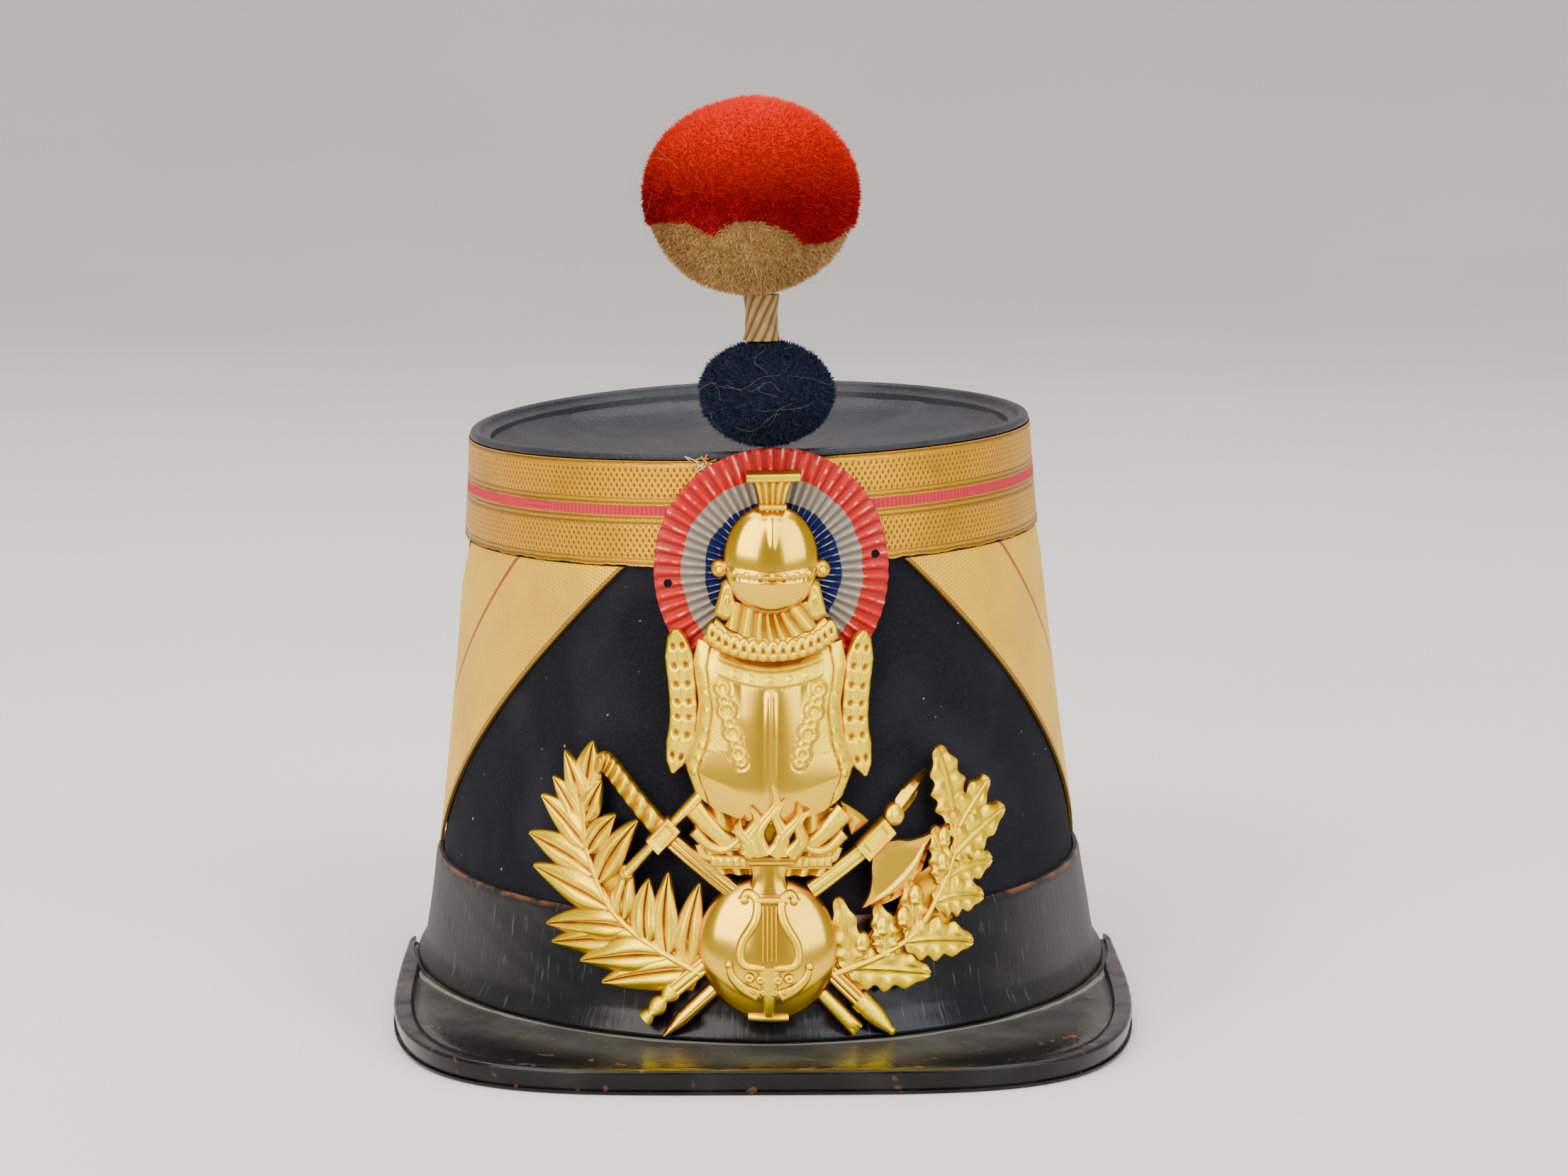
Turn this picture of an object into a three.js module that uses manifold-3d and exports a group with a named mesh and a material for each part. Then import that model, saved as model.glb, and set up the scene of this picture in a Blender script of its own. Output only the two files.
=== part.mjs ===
// Shako hat: a stiff cloth-covered body with a leather top, band and visor, gold lace,
// a pleated metal cockade, a stamped brass emblem and a two-ball wool pompom.
// Millimetres, +Z up, front towards -Y. The hat stands on its lower edge and its visor.
import * as THREE from 'three';
import { mergeVertices } from 'three/addons/utils/BufferGeometryUtils.js';
import Module from 'manifold-3d';

const wasm = await Module();
wasm.setup();

// Facets and clearances
const SIDES = 40;               // facets round the body
const GAP = 0.3;                // clearance between neighbouring pieces

// Body: an oval wall that narrows upwards
const BODY_HEIGHT = 140.2;
const BODY_HALF_WIDTH = 86.4;   // at the lower edge, outside
const LENGTH_RATIO = 1.21;      // length over width of the oval
const BODY_WALL = 2.4;
const TOP_SHIFT_X = -2.7;       // the worn body leans a little
const TOP_SHIFT_Y = 3.9;
const TOP_TILT = 2.3;           // the right side of the rim stands higher, the left lower
const TOP_RISE_FRONT = 0.7;
const TOP_RISE_BACK = 1.4;
const TAPER = [                 // up: share of the height, wide: share of the half width
  { up: 0.00, wide: 1.000 },
  { up: 0.12, wide: 0.966 },
  { up: 0.235, wide: 0.941 },
  { up: 0.43, wide: 0.899 },
  { up: 0.64, wide: 0.863 },
  { up: 0.82, wide: 0.837 },
  { up: 1.00, wide: 0.818 },
];

// Leather top, sunk like a saucer inside the rim
const TOP_SINK = 8.0;
const TOP_LEATHER = 1.8;
const TOP_ROLL = 2.0;           // height of the rolled edge above the body
const TOP_ROLL_WIDTH = 1.8;     // from the body's outside to the inner side of the roll
const TOP_SHOULDER = 0.6;       // share of its height where the roll starts to round
const TOP_PLAY = 0.4;           // room beside the wall, and how far the lace stands past the roll
const TOP_SADDLE = [            // out: share of the rim outline, down: share of the sink
  { out: 0.938, down: 0.14 },
  { out: 0.90, down: 0.42 },
  { out: 0.70, down: 0.84 },
];

// Lace round the top and on the sides
const LACE = 1.0;
const TOP_LACE_WIDTH = 25.2;
const CHEVRON_WIDTH = 50.0;
const CHEVRON_REACH = 100.0;    // along the wall from the side's middle to the tip
const CHEVRON_TIP = 0.2;        // height of the cut tips

// Leather band round the lower edge
const LEATHER = 1.4;
const LEATHER_BAND_TOP = 32.6;
const WELT = 1.6;               // how far the band turns out over the visor
const WELT_HEIGHT = 5.0;

// Visor and its bound edge
const VISOR_SIDE = 5.4;         // how far it stands out beside the body
const VISOR_FRONT = 34.3;       // and in front of the body
const VISOR_SQUARENESS = 4.15;  // exponent of the superellipse of its outline
const VISOR_THICK = 3.0;
const VISOR_YAW = -1.9;         // degrees, it is sewn on slightly turned
const BINDING = 1.1;
const BINDING_WIDTH = 5.0;
const BINDING_ROUND = 0.5;      // bevel at its outer corners
const BINDING_LEAST = 0.2;      // where the body leaves it no width

// Cockade
const COCKADE_RADIUS = 29.0;
const COCKADE_RISE = 2.8;       // its upper edge above the rim
const COCKADE_ALONG = 1.5;      // along the wall from the body's front line
const COCKADE_THICK = 0.9;
const COCKADE_HOLLOW = 0.5;     // its back is slightly hollow, clear of the wall's curve
const COCKADE_MIDDLE = 0.5;     // share of the radius where the faces bend
const PLEATS = 60;
const PLEAT_DEPTH = 0.9;
const COCKADE_TURN = 6;         // degrees
const COCKADE_HOLE = 0.9;
const COCKADE_HOLE_OUT = 0.88;  // share of the radius

// Emblem: drawn on a grid of squares counted from the body's lower edge and its front line
const EMBLEM_SQUARES = 138.3;   // up to its top
const EMBLEM_HEAD = 2.3;        // from its top to the rim
const RELIEF = 10.0;            // the helmet's crown above the back
const EMBLEM_EDGE = 0.9;        // thickness at the rims
const EMBLEM_LEAN = 1.9;        // degrees, the top leans to the right
const EMBLEM_ALONG = -2.1;      // of the ball's centre, along the wall
const EMBLEM_SPAN = 12.0;       // widest flat stretch before the plate bends with the wall
const BALL_SQUARES = 26.8;      // up to the ball's centre

// Pompom
const POMPOM_WIDTH = 53.2;
const POMPOM_HEIGHT = 48.8;
const POMPOM_LEAN = -3.6;       // the big ball hangs to the left of the small one
const POMPOM_DROP = 2.8;        // its middle lies this much in front of the small one
const SMALL_BALL_WIDTH = 33.4;
const SMALL_BALL_HEIGHT = 26.4;
const STEM_LENGTH = 9.4;
const STEM_WIDTH = 8.8;
const STEM_TURNS = 5;           // of the cord that covers it
const STEM_GROOVE = 0.4;
const BALL_SEAT = 0.8;          // how far the cockade's edge reaches up beside the small ball
const BALL_BACK = 2.6;          // from the rim's front to the small ball's middle
const LOCK_DEPTH = 0.8;
const RED_CAP_STEP = 0.9;       // the red wool stands this much proud of the buff wool
const WIRE = 2.4;
const WIRE_TAIL = 32.0;         // length of wire below the leather top
const WIRE_INSET = 5.6;         // from the body's outside at the rim to the wire
const WIRE_RIGHT = 0.8;         // from the rim's front line to the wire

const rad = THREE.MathUtils.degToRad;
const FRONT = -Math.PI / 2;

// What follows from the sizes above
const VISOR_HALF_WIDTH = BODY_HALF_WIDTH + VISOR_SIDE;
const VISOR_REACH = BODY_HALF_WIDTH * LENGTH_RATIO + VISOR_FRONT;
const COCKADE_UP = BODY_HEIGHT + COCKADE_RISE - COCKADE_RADIUS;
const GRID = (BODY_HEIGHT - EMBLEM_HEAD) / EMBLEM_SQUARES;
const EMBLEM_UP = BALL_SQUARES * GRID;

// Outward size of each layer on the body wall
const LACE_OUT = GAP + LACE;
const LEATHER_OUT = GAP + LEATHER;
const COCKADE_BACK = LACE_OUT + GAP;
const EMBLEM_BACK = COCKADE_BACK + COCKADE_THICK + PLEAT_DEPTH + GAP;
const LACE_BOTTOM = BODY_HEIGHT - TOP_LACE_WIDTH;
const BINDING_TOP = 2 * BINDING + 2 * GAP + VISOR_THICK;
const VISOR_BOTTOM = BINDING + GAP;
const VISOR_TOP = VISOR_BOTTOM + VISOR_THICK;

function halfWidth(z) {
  const up = z / BODY_HEIGHT;
  let row = 1;
  while (row < TAPER.length - 1 && TAPER[row].up < up) row += 1;
  const low = TAPER[row - 1];
  const high = TAPER[row];
  const share = (up - low.up) / (high.up - low.up);
  return BODY_HALF_WIDTH * (low.wide + share * (high.wide - low.wide));
}

// A point on the body wall: angle from +X, height, distance outside the cloth
function wallPoint(angle, z, out) {
  const up = z / BODY_HEIGHT;
  const a = halfWidth(z);
  const b = a * LENGTH_RATIO;
  const c = Math.cos(angle);
  const s = Math.sin(angle);
  const n = Math.hypot(c / a, s / b);
  const rise = (s < 0 ? TOP_RISE_FRONT : TOP_RISE_BACK) * s * s + TOP_TILT * c;
  return new THREE.Vector3(
    up * TOP_SHIFT_X + a * c + out * c / a / n,
    up * TOP_SHIFT_Y + b * s + out * s / b / n,
    z + up * rise,
  );
}

// Arc length from the front of an oval of half width 1, in equal steps of angle
const ARC_STEPS = 360;
const arcs = [0];
for (let i = 1; i <= ARC_STEPS; i += 1) {
  const t = FRONT + Math.PI * (i - 0.5) / ARC_STEPS;
  arcs.push(arcs[i - 1] + Math.hypot(Math.sin(t), LENGTH_RATIO * Math.cos(t)) * Math.PI / ARC_STEPS);
}

// The angle that lies a given length along the wall from the front, to the right if positive
function angleAlong(along, z, out) {
  const arc = Math.abs(along) / (halfWidth(z) + out);
  let i = 1;
  while (i < ARC_STEPS && arcs[i] < arc) i += 1;
  const share = (arc - arcs[i - 1]) / (arcs[i] - arcs[i - 1]);
  return FRONT + Math.sign(along) * Math.PI * (i - 1 + share) / ARC_STEPS;
}

function alongWall(along, z, out) {
  return wallPoint(angleAlong(along, z, out), z, out);
}

// Welds a mesh into one closed body whose faces point out
function closedBody(geometry) {
  const bare = geometry.clone();
  bare.deleteAttribute('normal');
  bare.deleteAttribute('uv');
  const welded = mergeVertices(bare, 1e-5);
  const at = welded.attributes.position;
  const index = [];
  const old = welded.index.array;
  let volume = 0;
  const [p, q, r] = [new THREE.Vector3(), new THREE.Vector3(), new THREE.Vector3()];
  for (let i = 0; i < old.length; i += 3) {
    const [a, b, c] = [old[i], old[i + 1], old[i + 2]];
    if (a === b || b === c || c === a) continue;
    index.push(a, b, c);
    p.fromBufferAttribute(at, a);
    q.fromBufferAttribute(at, b);
    r.fromBufferAttribute(at, c);
    volume += p.dot(q.cross(r));
  }
  if (volume < 0) index.reverse();
  welded.setIndex(index);
  return welded;
}

function meshGeometry(points, index) {
  const geometry = new THREE.BufferGeometry();
  geometry.setAttribute('position', new THREE.BufferAttribute(new Float32Array(points.flat()), 3));
  geometry.setIndex(index);
  return geometry;
}

// Sweeps a flat section through its stations. profile(i) lists the section's own two
// coordinates and place(i, across, high) puts them in space.
function sweep(stations, profile, place, ring = false) {
  const points = [];
  const index = [];
  const size = profile(0).length;
  for (let i = 0; i < stations; i += 1) {
    for (const [across, high] of profile(i)) points.push(place(i, across, high).toArray());
  }
  const spans = ring ? stations : stations - 1;
  for (let i = 0; i < spans; i += 1) {
    const next = (i + 1) % stations;
    for (let j = 0; j < size; j += 1) {
      const k = (j + 1) % size;
      index.push(i * size + j, i * size + k, next * size + k);
      index.push(i * size + j, next * size + k, next * size + j);
    }
  }
  if (!ring) {
    for (const end of [0, stations - 1]) {
      const flat = profile(end).map(([across, high]) => new THREE.Vector2(across, high));
      const turned = THREE.ShapeUtils.isClockWise(flat) === (end === 0);
      for (const [a, b, c] of THREE.ShapeUtils.triangulateShape(flat, [])) {
        if (turned) index.push(end * size + a, end * size + b, end * size + c);
        else index.push(end * size + a, end * size + c, end * size + b);
      }
    }
  }
  return closedBody(meshGeometry(points, index));
}

function toManifold(geometry) {
  const body = closedBody(geometry);
  const vertProperties = new Float32Array(body.attributes.position.array);
  const triVerts = new Uint32Array(body.index.array);
  return new wasm.Manifold(new wasm.Mesh({ numProp: 3, vertProperties, triVerts }));
}

function fromManifold(solid) {
  const mesh = solid.getMesh();
  const geometry = new THREE.BufferGeometry();
  geometry.setAttribute('position', new THREE.BufferAttribute(new Float32Array(mesh.vertProperties), 3));
  geometry.setIndex(Array.from(mesh.triVerts));
  return geometry;
}

const sideAngle = (i) => FRONT + 2 * Math.PI * i / SIDES;

function bodyShell() {
  const outer = TAPER.map(({ up }) => [0, up * BODY_HEIGHT]);
  const inner = TAPER.filter((row, i) => i % 2 === 0).reverse()
    .map(({ up }) => [-BODY_WALL, up * BODY_HEIGHT]);
  const section = [...outer, ...inner];
  return sweep(SIDES, () => section, (i, out, z) => wallPoint(sideAngle(i), z, out), true);
}

function topLace() {
  const low = LACE_BOTTOM;
  const high = BODY_HEIGHT;
  const section = [[GAP, low], [LACE_OUT, low], [LACE_OUT, high], [GAP, high]];
  return sweep(SIDES, () => section, (i, out, z) => wallPoint(sideAngle(i), z, out), true);
}

// The band's lower edge rides on the visor in front and comes down near the floor behind
function bandFoot(angle) {
  const onVisor = THREE.MathUtils.smoothstep(-Math.sin(angle), -0.42, -0.14);
  return GAP + onVisor * VISOR_TOP;
}

function leatherBand() {
  const section = (i) => {
    const foot = bandFoot(sideAngle(i));
    return [
      [GAP, foot], [LEATHER_OUT + WELT, foot], [LEATHER_OUT, foot + WELT_HEIGHT],
      [LEATHER_OUT, LEATHER_BAND_TOP], [GAP, LEATHER_BAND_TOP],
    ];
  };
  return sweep(SIDES, section, (i, out, z) => wallPoint(sideAngle(i), z, out), true);
}

// A filled V of lace on one side, its point down on the leather band
function chevron(side) {
  const foot = LEATHER_BAND_TOP + GAP;
  const head = LACE_BOTTOM - GAP;
  const slope = (head - foot) / CHEVRON_REACH;
  const cross = foot + CHEVRON_WIDTH * Math.hypot(1, slope);
  const stations = 21;
  const middle = arcs[ARC_STEPS / 2];
  const rows = 3;
  const step = (i) => CHEVRON_REACH * (2 * i / (stations - 1) - 1);
  const edges = (i) => {
    const away = Math.abs(step(i));
    const low = Math.min(foot + slope * away, head - CHEVRON_TIP);
    return [low, Math.max(low + CHEVRON_TIP, Math.min(head, cross + slope * away))];
  };
  const profile = (i) => {
    const [low, high] = edges(i);
    const column = Array.from({ length: rows }, (none, k) => low + (high - low) * k / (rows - 1));
    const back = column.map((z) => [GAP, z]);
    return [...column.map((z) => [LACE_OUT, z]), ...back.reverse()];
  };
  const place = (i, out, z) => {
    const along = side * (middle * halfWidth(z) + step(i) * (halfWidth(z) + LACE_OUT) / halfWidth(foot));
    return wallPoint(angleAlong(along, z, 0), z, out);
  };
  return sweep(stations, profile, place);
}

function crownTop() {
  const drop = (share) => -share * TOP_SINK;
  const share = (length) => length / halfWidth(BODY_HEIGHT);
  const edge = 1 - share(BODY_WALL + GAP + TOP_PLAY);
  const lip = 1 + share(LACE_OUT - TOP_PLAY);
  const under = TOP_SADDLE.slice(1).reverse();
  const profile = [
    new THREE.Vector2(0, drop(1) - TOP_LEATHER),
    ...under.map(({ out, down }) => new THREE.Vector2(out, drop(down) - TOP_LEATHER)),
    new THREE.Vector2(edge, -GAP),
    new THREE.Vector2(edge + share(TOP_PLAY), GAP),
    new THREE.Vector2(lip, GAP),
    new THREE.Vector2(lip, TOP_ROLL * TOP_SHOULDER),
    new THREE.Vector2(1.0, TOP_ROLL),
    new THREE.Vector2(1 - share(TOP_ROLL_WIDTH), TOP_ROLL * TOP_SHOULDER),
    ...TOP_SADDLE.map(({ out, down }) => new THREE.Vector2(out, drop(down))),
    new THREE.Vector2(0, drop(1)),
  ];
  const lathe = new THREE.LatheGeometry(profile, SIDES);
  const at = lathe.attributes.position;
  for (let i = 0; i < at.count; i += 1) {
    const out = Math.hypot(at.getX(i), at.getZ(i));
    const rim = wallPoint(Math.atan2(at.getZ(i), at.getX(i)), BODY_HEIGHT, 0);
    at.setXYZ(
      i,
      TOP_SHIFT_X + out * (rim.x - TOP_SHIFT_X),
      TOP_SHIFT_Y + out * (rim.y - TOP_SHIFT_Y),
      BODY_HEIGHT + out * (rim.z - BODY_HEIGHT) + at.getY(i),
    );
  }
  const bore = new THREE.CylinderGeometry(WIRE / 2 + GAP, WIRE / 2 + GAP, 4 * TOP_SINK, 8);
  bore.rotateX(Math.PI / 2);
  bore.translate(wireSpot.x, wireSpot.y, BODY_HEIGHT - TOP_SINK);
  return closedBody(fromManifold(toManifold(lathe).subtract(toManifold(bore))));
}

// The visor's outline, a superellipse, moved in by an inset. turn runs 0 to 1 from end to end.
const VISOR_END = 9;            // degrees behind the widest line
function visorEdge(turn, inset) {
  const span = Math.PI + 2 * rad(VISOR_END);
  const point = (t) => {
    const angle = -Math.PI - rad(VISOR_END) + span * t;
    const c = Math.cos(angle);
    const s = Math.sin(angle);
    const power = s > 0 ? 1 : 2 / VISOR_SQUARENESS;
    return new THREE.Vector2(
      Math.sign(c) * VISOR_HALF_WIDTH * Math.abs(c) ** (2 / VISOR_SQUARENESS),
      Math.sign(s) * VISOR_REACH * Math.abs(s) ** power * (s > 0 ? 0.3 : 1),
    );
  };
  const here = point(turn);
  const tangent = point(Math.min(turn + 0.002, 1)).sub(point(Math.max(turn - 0.002, 0))).normalize();
  return new THREE.Vector2(here.x - tangent.y * inset, here.y + tangent.x * inset)
    .rotateAround(new THREE.Vector2(), rad(VISOR_YAW));
}

const VISOR_STATIONS = 29;
// Closer stations at the corners, where the outline turns
const visorTurn = (i) => {
  const t = i / (VISOR_STATIONS - 1);
  return t - 0.035 * Math.sin(4 * Math.PI * t);
};

function visorSheet() {
  const shape = new THREE.Shape();
  const outline = [];
  for (let i = 0; i < VISOR_STATIONS; i += 1) outline.push(visorEdge(visorTurn(i), BINDING + GAP));
  const first = outline[0];
  const last = outline[outline.length - 1];
  const inner = [];
  for (let i = 0; i < SIDES; i += 1) {
    const angle = sideAngle(i - SIDES / 2);
    const spot = wallPoint(angle, 0, GAP);
    if (spot.y < Math.min(first.y, last.y) - VISOR_THICK) inner.push(new THREE.Vector2(spot.x, spot.y));
  }
  inner.sort((a, b) => Math.atan2(b.x, -b.y) - Math.atan2(a.x, -a.y));
  shape.setFromPoints([...outline, ...inner]);
  const sheet = new THREE.ExtrudeGeometry(shape, { depth: VISOR_THICK, bevelEnabled: false });
  sheet.translate(0, 0, VISOR_BOTTOM);
  return closedBody(sheet);
}

function visorBinding() {
  const top = BINDING_TOP;
  const section = [
    [0, BINDING_ROUND], [0, top - BINDING_ROUND], [BINDING_ROUND, top], [BINDING_WIDTH, top],
    [BINDING_WIDTH, top - BINDING], [BINDING, top - BINDING], [BINDING, BINDING],
    [BINDING_WIDTH, BINDING], [BINDING_WIDTH, 0], [BINDING_ROUND, 0],
  ];
  // Beside the body the binding is as wide as the visor shows past the band
  const wide = BODY_HALF_WIDTH + LEATHER_OUT + WELT;
  const long = BODY_HALF_WIDTH * LENGTH_RATIO + LEATHER_OUT + WELT;
  const room = (i) => {
    const spot = visorEdge(visorTurn(i), 0);
    const level = Math.hypot(spot.x / wide, spot.y / long);
    return (level - 1) * level / Math.hypot(spot.x / wide ** 2, spot.y / long ** 2);
  };
  const profile = (i) => section.map(([inset, z]) => [
    inset <= BINDING ? inset : Math.max(BINDING + BINDING_LEAST, Math.min(inset, room(i) - GAP)), z,
  ]);
  const place = (i, inset, z) => {
    const spot = visorEdge(visorTurn(i), inset);
    return new THREE.Vector3(spot.x, spot.y, z);
  };
  return sweep(VISOR_STATIONS, profile, place);
}

// Pleated disc: ridges alternate with valleys round it
function cockade() {
  const points = [];
  const index = [];
  const count = 2 * PLEATS;
  const put = (radius, angle, high) => {
    const along = COCKADE_ALONG + radius * Math.cos(angle);
    return alongWall(along, COCKADE_UP + radius * Math.sin(angle), COCKADE_BACK + high).toArray();
  };
  const loops = [];
  const loop = (share, high) => {
    loops.push(points.length);
    for (let i = 0; i < count; i += 1) {
      const ridge = i % 2 === 0 ? high[0] : high[1];
      points.push(put(COCKADE_RADIUS * share, 2 * Math.PI * i / count + rad(COCKADE_TURN), ridge));
    }
  };
  const full = COCKADE_THICK + PLEAT_DEPTH;
  loop(1.0, [PLEAT_DEPTH * 0.5 + COCKADE_HOLLOW / 2, COCKADE_HOLLOW / 2]);
  loop(COCKADE_MIDDLE, [PLEAT_DEPTH * 0.3 + COCKADE_HOLLOW, COCKADE_HOLLOW]);
  const back = points.push(put(0, 0, COCKADE_HOLLOW)) - 1;
  const fore = points.push(put(0, 0, full)) - 1;
  loop(COCKADE_MIDDLE, [full, COCKADE_THICK]);
  loop(1.0, [full, COCKADE_THICK]);
  const [rimBack, midBack, midFore, rimFore] = loops;
  const bridge = (a, b) => {
    for (let i = 0; i < count; i += 1) {
      const k = (i + 1) % count;
      index.push(a + i, a + k, b + k, a + i, b + k, b + i);
    }
  };
  const fan = (centre, a, flip) => {
    for (let i = 0; i < count; i += 1) {
      const k = (i + 1) % count;
      if (flip) index.push(centre, a + k, a + i);
      else index.push(centre, a + i, a + k);
    }
  };
  fan(fore, midFore, false);
  bridge(rimFore, midFore);
  bridge(rimBack, rimFore);
  bridge(midBack, rimBack);
  fan(back, midBack, true);
  let solid = toManifold(meshGeometry(points, index));
  for (const side of [-1, 1]) {
    const angle = rad(COCKADE_TURN) + (side < 0 ? Math.PI : 0);
    const hole = new THREE.CylinderGeometry(COCKADE_HOLE, COCKADE_HOLE, 8 * COCKADE_THICK, 6);
    const away = COCKADE_RADIUS * COCKADE_HOLE_OUT;
    const spot = new THREE.Vector3(...put(away, angle, 0));
    const outward = new THREE.Vector3(...put(away, angle, 1)).sub(spot).normalize();
    hole.applyQuaternion(new THREE.Quaternion().setFromUnitVectors(new THREE.Vector3(0, 1, 0), outward));
    hole.translate(spot.x, spot.y, spot.z);
    solid = solid.subtract(toManifold(hole));
  }
  return closedBody(fromManifold(solid));
}

// Emblem parts, drawn flat: right and up in grid squares, high in shares of the relief
const flat = (right, up, high) => new THREE.Vector3(right * GRID, up * GRID, high * RELIEF);
const RIM = EMBLEM_EDGE / RELIEF;

function smoothPath(points, steps) {
  const curve = new THREE.CatmullRomCurve3(points.map(([x, y]) => new THREE.Vector3(x, y, 0)));
  return curve.getPoints(steps);
}

// A raised strip along a path: half widths and crest heights at each of its stations
function strip(path, half, crest, rim = RIM) {
  const tangent = (i) => path[Math.min(i + 1, path.length - 1)].clone()
    .sub(path[Math.max(i - 1, 0)]).normalize();
  const profile = (i) => {
    const w = half(i / (path.length - 1));
    const top = crest(i / (path.length - 1));
    if (rim === 0) return [[-w, 0], [0, top], [w, 0]];
    return [[-w, 0], [-w, Math.min(rim, top)], [0, top], [w, Math.min(rim, top)], [w, 0]];
  };
  const place = (i, across, high) => {
    const t = tangent(i);
    return flat(path[i].x - t.y * across, path[i].y + t.x * across, high);
  };
  return toManifold(sweep(path.length, profile, place));
}

// A boss: an outline with a rim and a domed top that rises to its middle
function boss(outline, middle, rim, rise, rings = 3) {
  const points = [];
  const index = [];
  const n = outline.length;
  const loop = (share, high) => {
    for (const [x, y] of outline) {
      const right = middle[0] + (x - middle[0]) * share;
      const up = middle[1] + (y - middle[1]) * share;
      points.push(flat(right, up, high).toArray());
    }
  };
  loop(1, 0);
  for (let k = 0; k < rings; k += 1) {
    const turn = k * Math.PI / 2 / rings;
    loop(Math.cos(turn), rim + rise * Math.sin(turn));
  }
  const bottom = points.push(flat(middle[0], middle[1], 0).toArray()) - 1;
  const peak = points.push(flat(middle[0], middle[1], rim + rise).toArray()) - 1;
  for (let i = 0; i < n; i += 1) {
    const k = (i + 1) % n;
    for (let ring = 0; ring < rings; ring += 1) {
      const a = ring * n;
      const b = a + n;
      index.push(a + i, a + k, b + k, a + i, b + k, b + i);
    }
    index.push(bottom, k, i, rings * n + i, rings * n + k, peak);
  }
  return toManifold(meshGeometry(points, index));
}

const oval = (right, up, wide, tall, sides = 16) => Array.from({ length: sides }, (none, i) => [
  right + wide * Math.cos(2 * Math.PI * i / sides),
  up + tall * Math.sin(2 * Math.PI * i / sides),
]);

// A flat plate of an outline, for the thin blades and the backing behind the folds
function plate(outline, high) {
  const shape = new THREE.Shape(outline.map(([x, y]) => new THREE.Vector2(x * GRID, y * GRID)));
  return toManifold(new THREE.ExtrudeGeometry(shape, { depth: high * RELIEF, bevelEnabled: false }));
}

const line = ([ax, ay], [bx, by], steps = 1) => Array.from({ length: steps + 1 }, (none, i) => (
  new THREE.Vector3(ax + (bx - ax) * i / steps, ay + (by - ay) * i / steps, 0)));
const even = (value) => () => value;
const mirror = (points) => points.map(([x, y]) => [-x, y]);

// Laurel on the left, oak on the right: each leaf grows from a share of the stem's length
const LAUREL_STEM = [[-16, 20], [-29, 26], [-38, 32], [-43, 39], [-46.5, 48], [-47, 58]];
const LAUREL = [                // at: share of the stem, tip and half width in squares
  { at: 1.00, tip: [-44.5, 72.0], half: 3.2 },
  { at: 0.93, tip: [-53.2, 68.8], half: 2.9 },
  { at: 0.90, tip: [-41.8, 63.0], half: 2.6 },
  { at: 0.84, tip: [-57.0, 62.0], half: 2.9 },
  { at: 0.78, tip: [-60.8, 57.1], half: 3.0 },
  { at: 0.76, tip: [-37.8, 55.4], half: 2.5 },
  { at: 0.66, tip: [-65.2, 47.2], half: 3.3 },
  { at: 0.62, tip: [-31.9, 54.6], half: 2.9 },
  { at: 0.50, tip: [-63.1, 39.9], half: 3.2 },
  { at: 0.42, tip: [-33.5, 43.5], half: 2.8 },
  { at: 0.38, tip: [-58.4, 26.8], half: 3.0 },
  { at: 0.27, tip: [-28.9, 41.2], half: 2.8 },
  { at: 0.28, tip: [-56.6, 22.6], half: 3.2 },
  { at: 0.16, tip: [-24.0, 43.0], half: 2.8 },
  { at: 0.16, tip: [-47.5, 19.8], half: 3.2 },
  { at: 0.06, tip: [-16.3, 41.0], half: 2.8 },
  { at: 0.03, tip: [-41.3, 15.5], half: 3.3 },
];
const OAK_STEM = [[16, 21], [28.4, 25.3], [37, 30.1], [43.1, 37.9], [47.8, 46.2], [48.5, 54]];
const OAK = [
  { at: 1.00, tip: [43.4, 72.0], half: 4.6 },
  { at: 0.92, tip: [60.5, 63.2], half: 4.0 },
  { at: 0.84, tip: [66.0, 56.0], half: 4.0 },
  { at: 0.72, tip: [61.0, 44.2], half: 4.0 },
  { at: 0.60, tip: [57.4, 36.0], half: 3.9 },
  { at: 0.36, tip: [53.4, 26.0], half: 4.0 },
  { at: 0.06, tip: [40.5, 19.6], half: 4.2 },
  { at: 0.05, tip: [16.2, 38.4], half: 3.2 },
  { at: 0.24, tip: [26.0, 36.5], half: 3.0 },
  { at: 0.40, tip: [34.6, 41.5], half: 3.4 },
  { at: 0.70, tip: [42.0, 53.5], half: 3.2 },
];
const ACORNS = [[22.6, 28.0], [27.6, 31.6], [33.2, 33.4], [36.6, 38.2], [44.6, 45.4], [45.0, 51.0]];

const stemCurve = (stem) => new THREE.CatmullRomCurve3(stem.map(([x, y]) => new THREE.Vector3(x, y, 0)));

function leaf(curve, { at, tip, half }, steps, width, high) {
  const base = curve.getPointAt(Math.min(at, 1));
  const ahead = curve.getTangentAt(Math.min(at, 1)).multiplyScalar(half * 1.6);
  const end = new THREE.Vector3(tip[0], tip[1], 0);
  const knee = base.clone().add(ahead).lerp(base.clone().lerp(end, 0.5), 0.5);
  const path = new THREE.QuadraticBezierCurve3(base, knee, end).getPoints(steps);
  return strip(path, (t) => half * width(t), (t) => high * (0.55 + 0.45 * Math.sin(Math.PI * t)), 0);
}

function laurelBranch() {
  const curve = stemCurve(LAUREL_STEM);
  const width = (t) => 0.06 + Math.sin(Math.PI * t ** 0.85) ** 0.75 * 0.94;
  return [
    strip(curve.getPoints(8), even(0.9), even(0.24)),
    ...LAUREL.map((row) => leaf(curve, row, 4, width, 0.22)),
  ];
}

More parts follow.
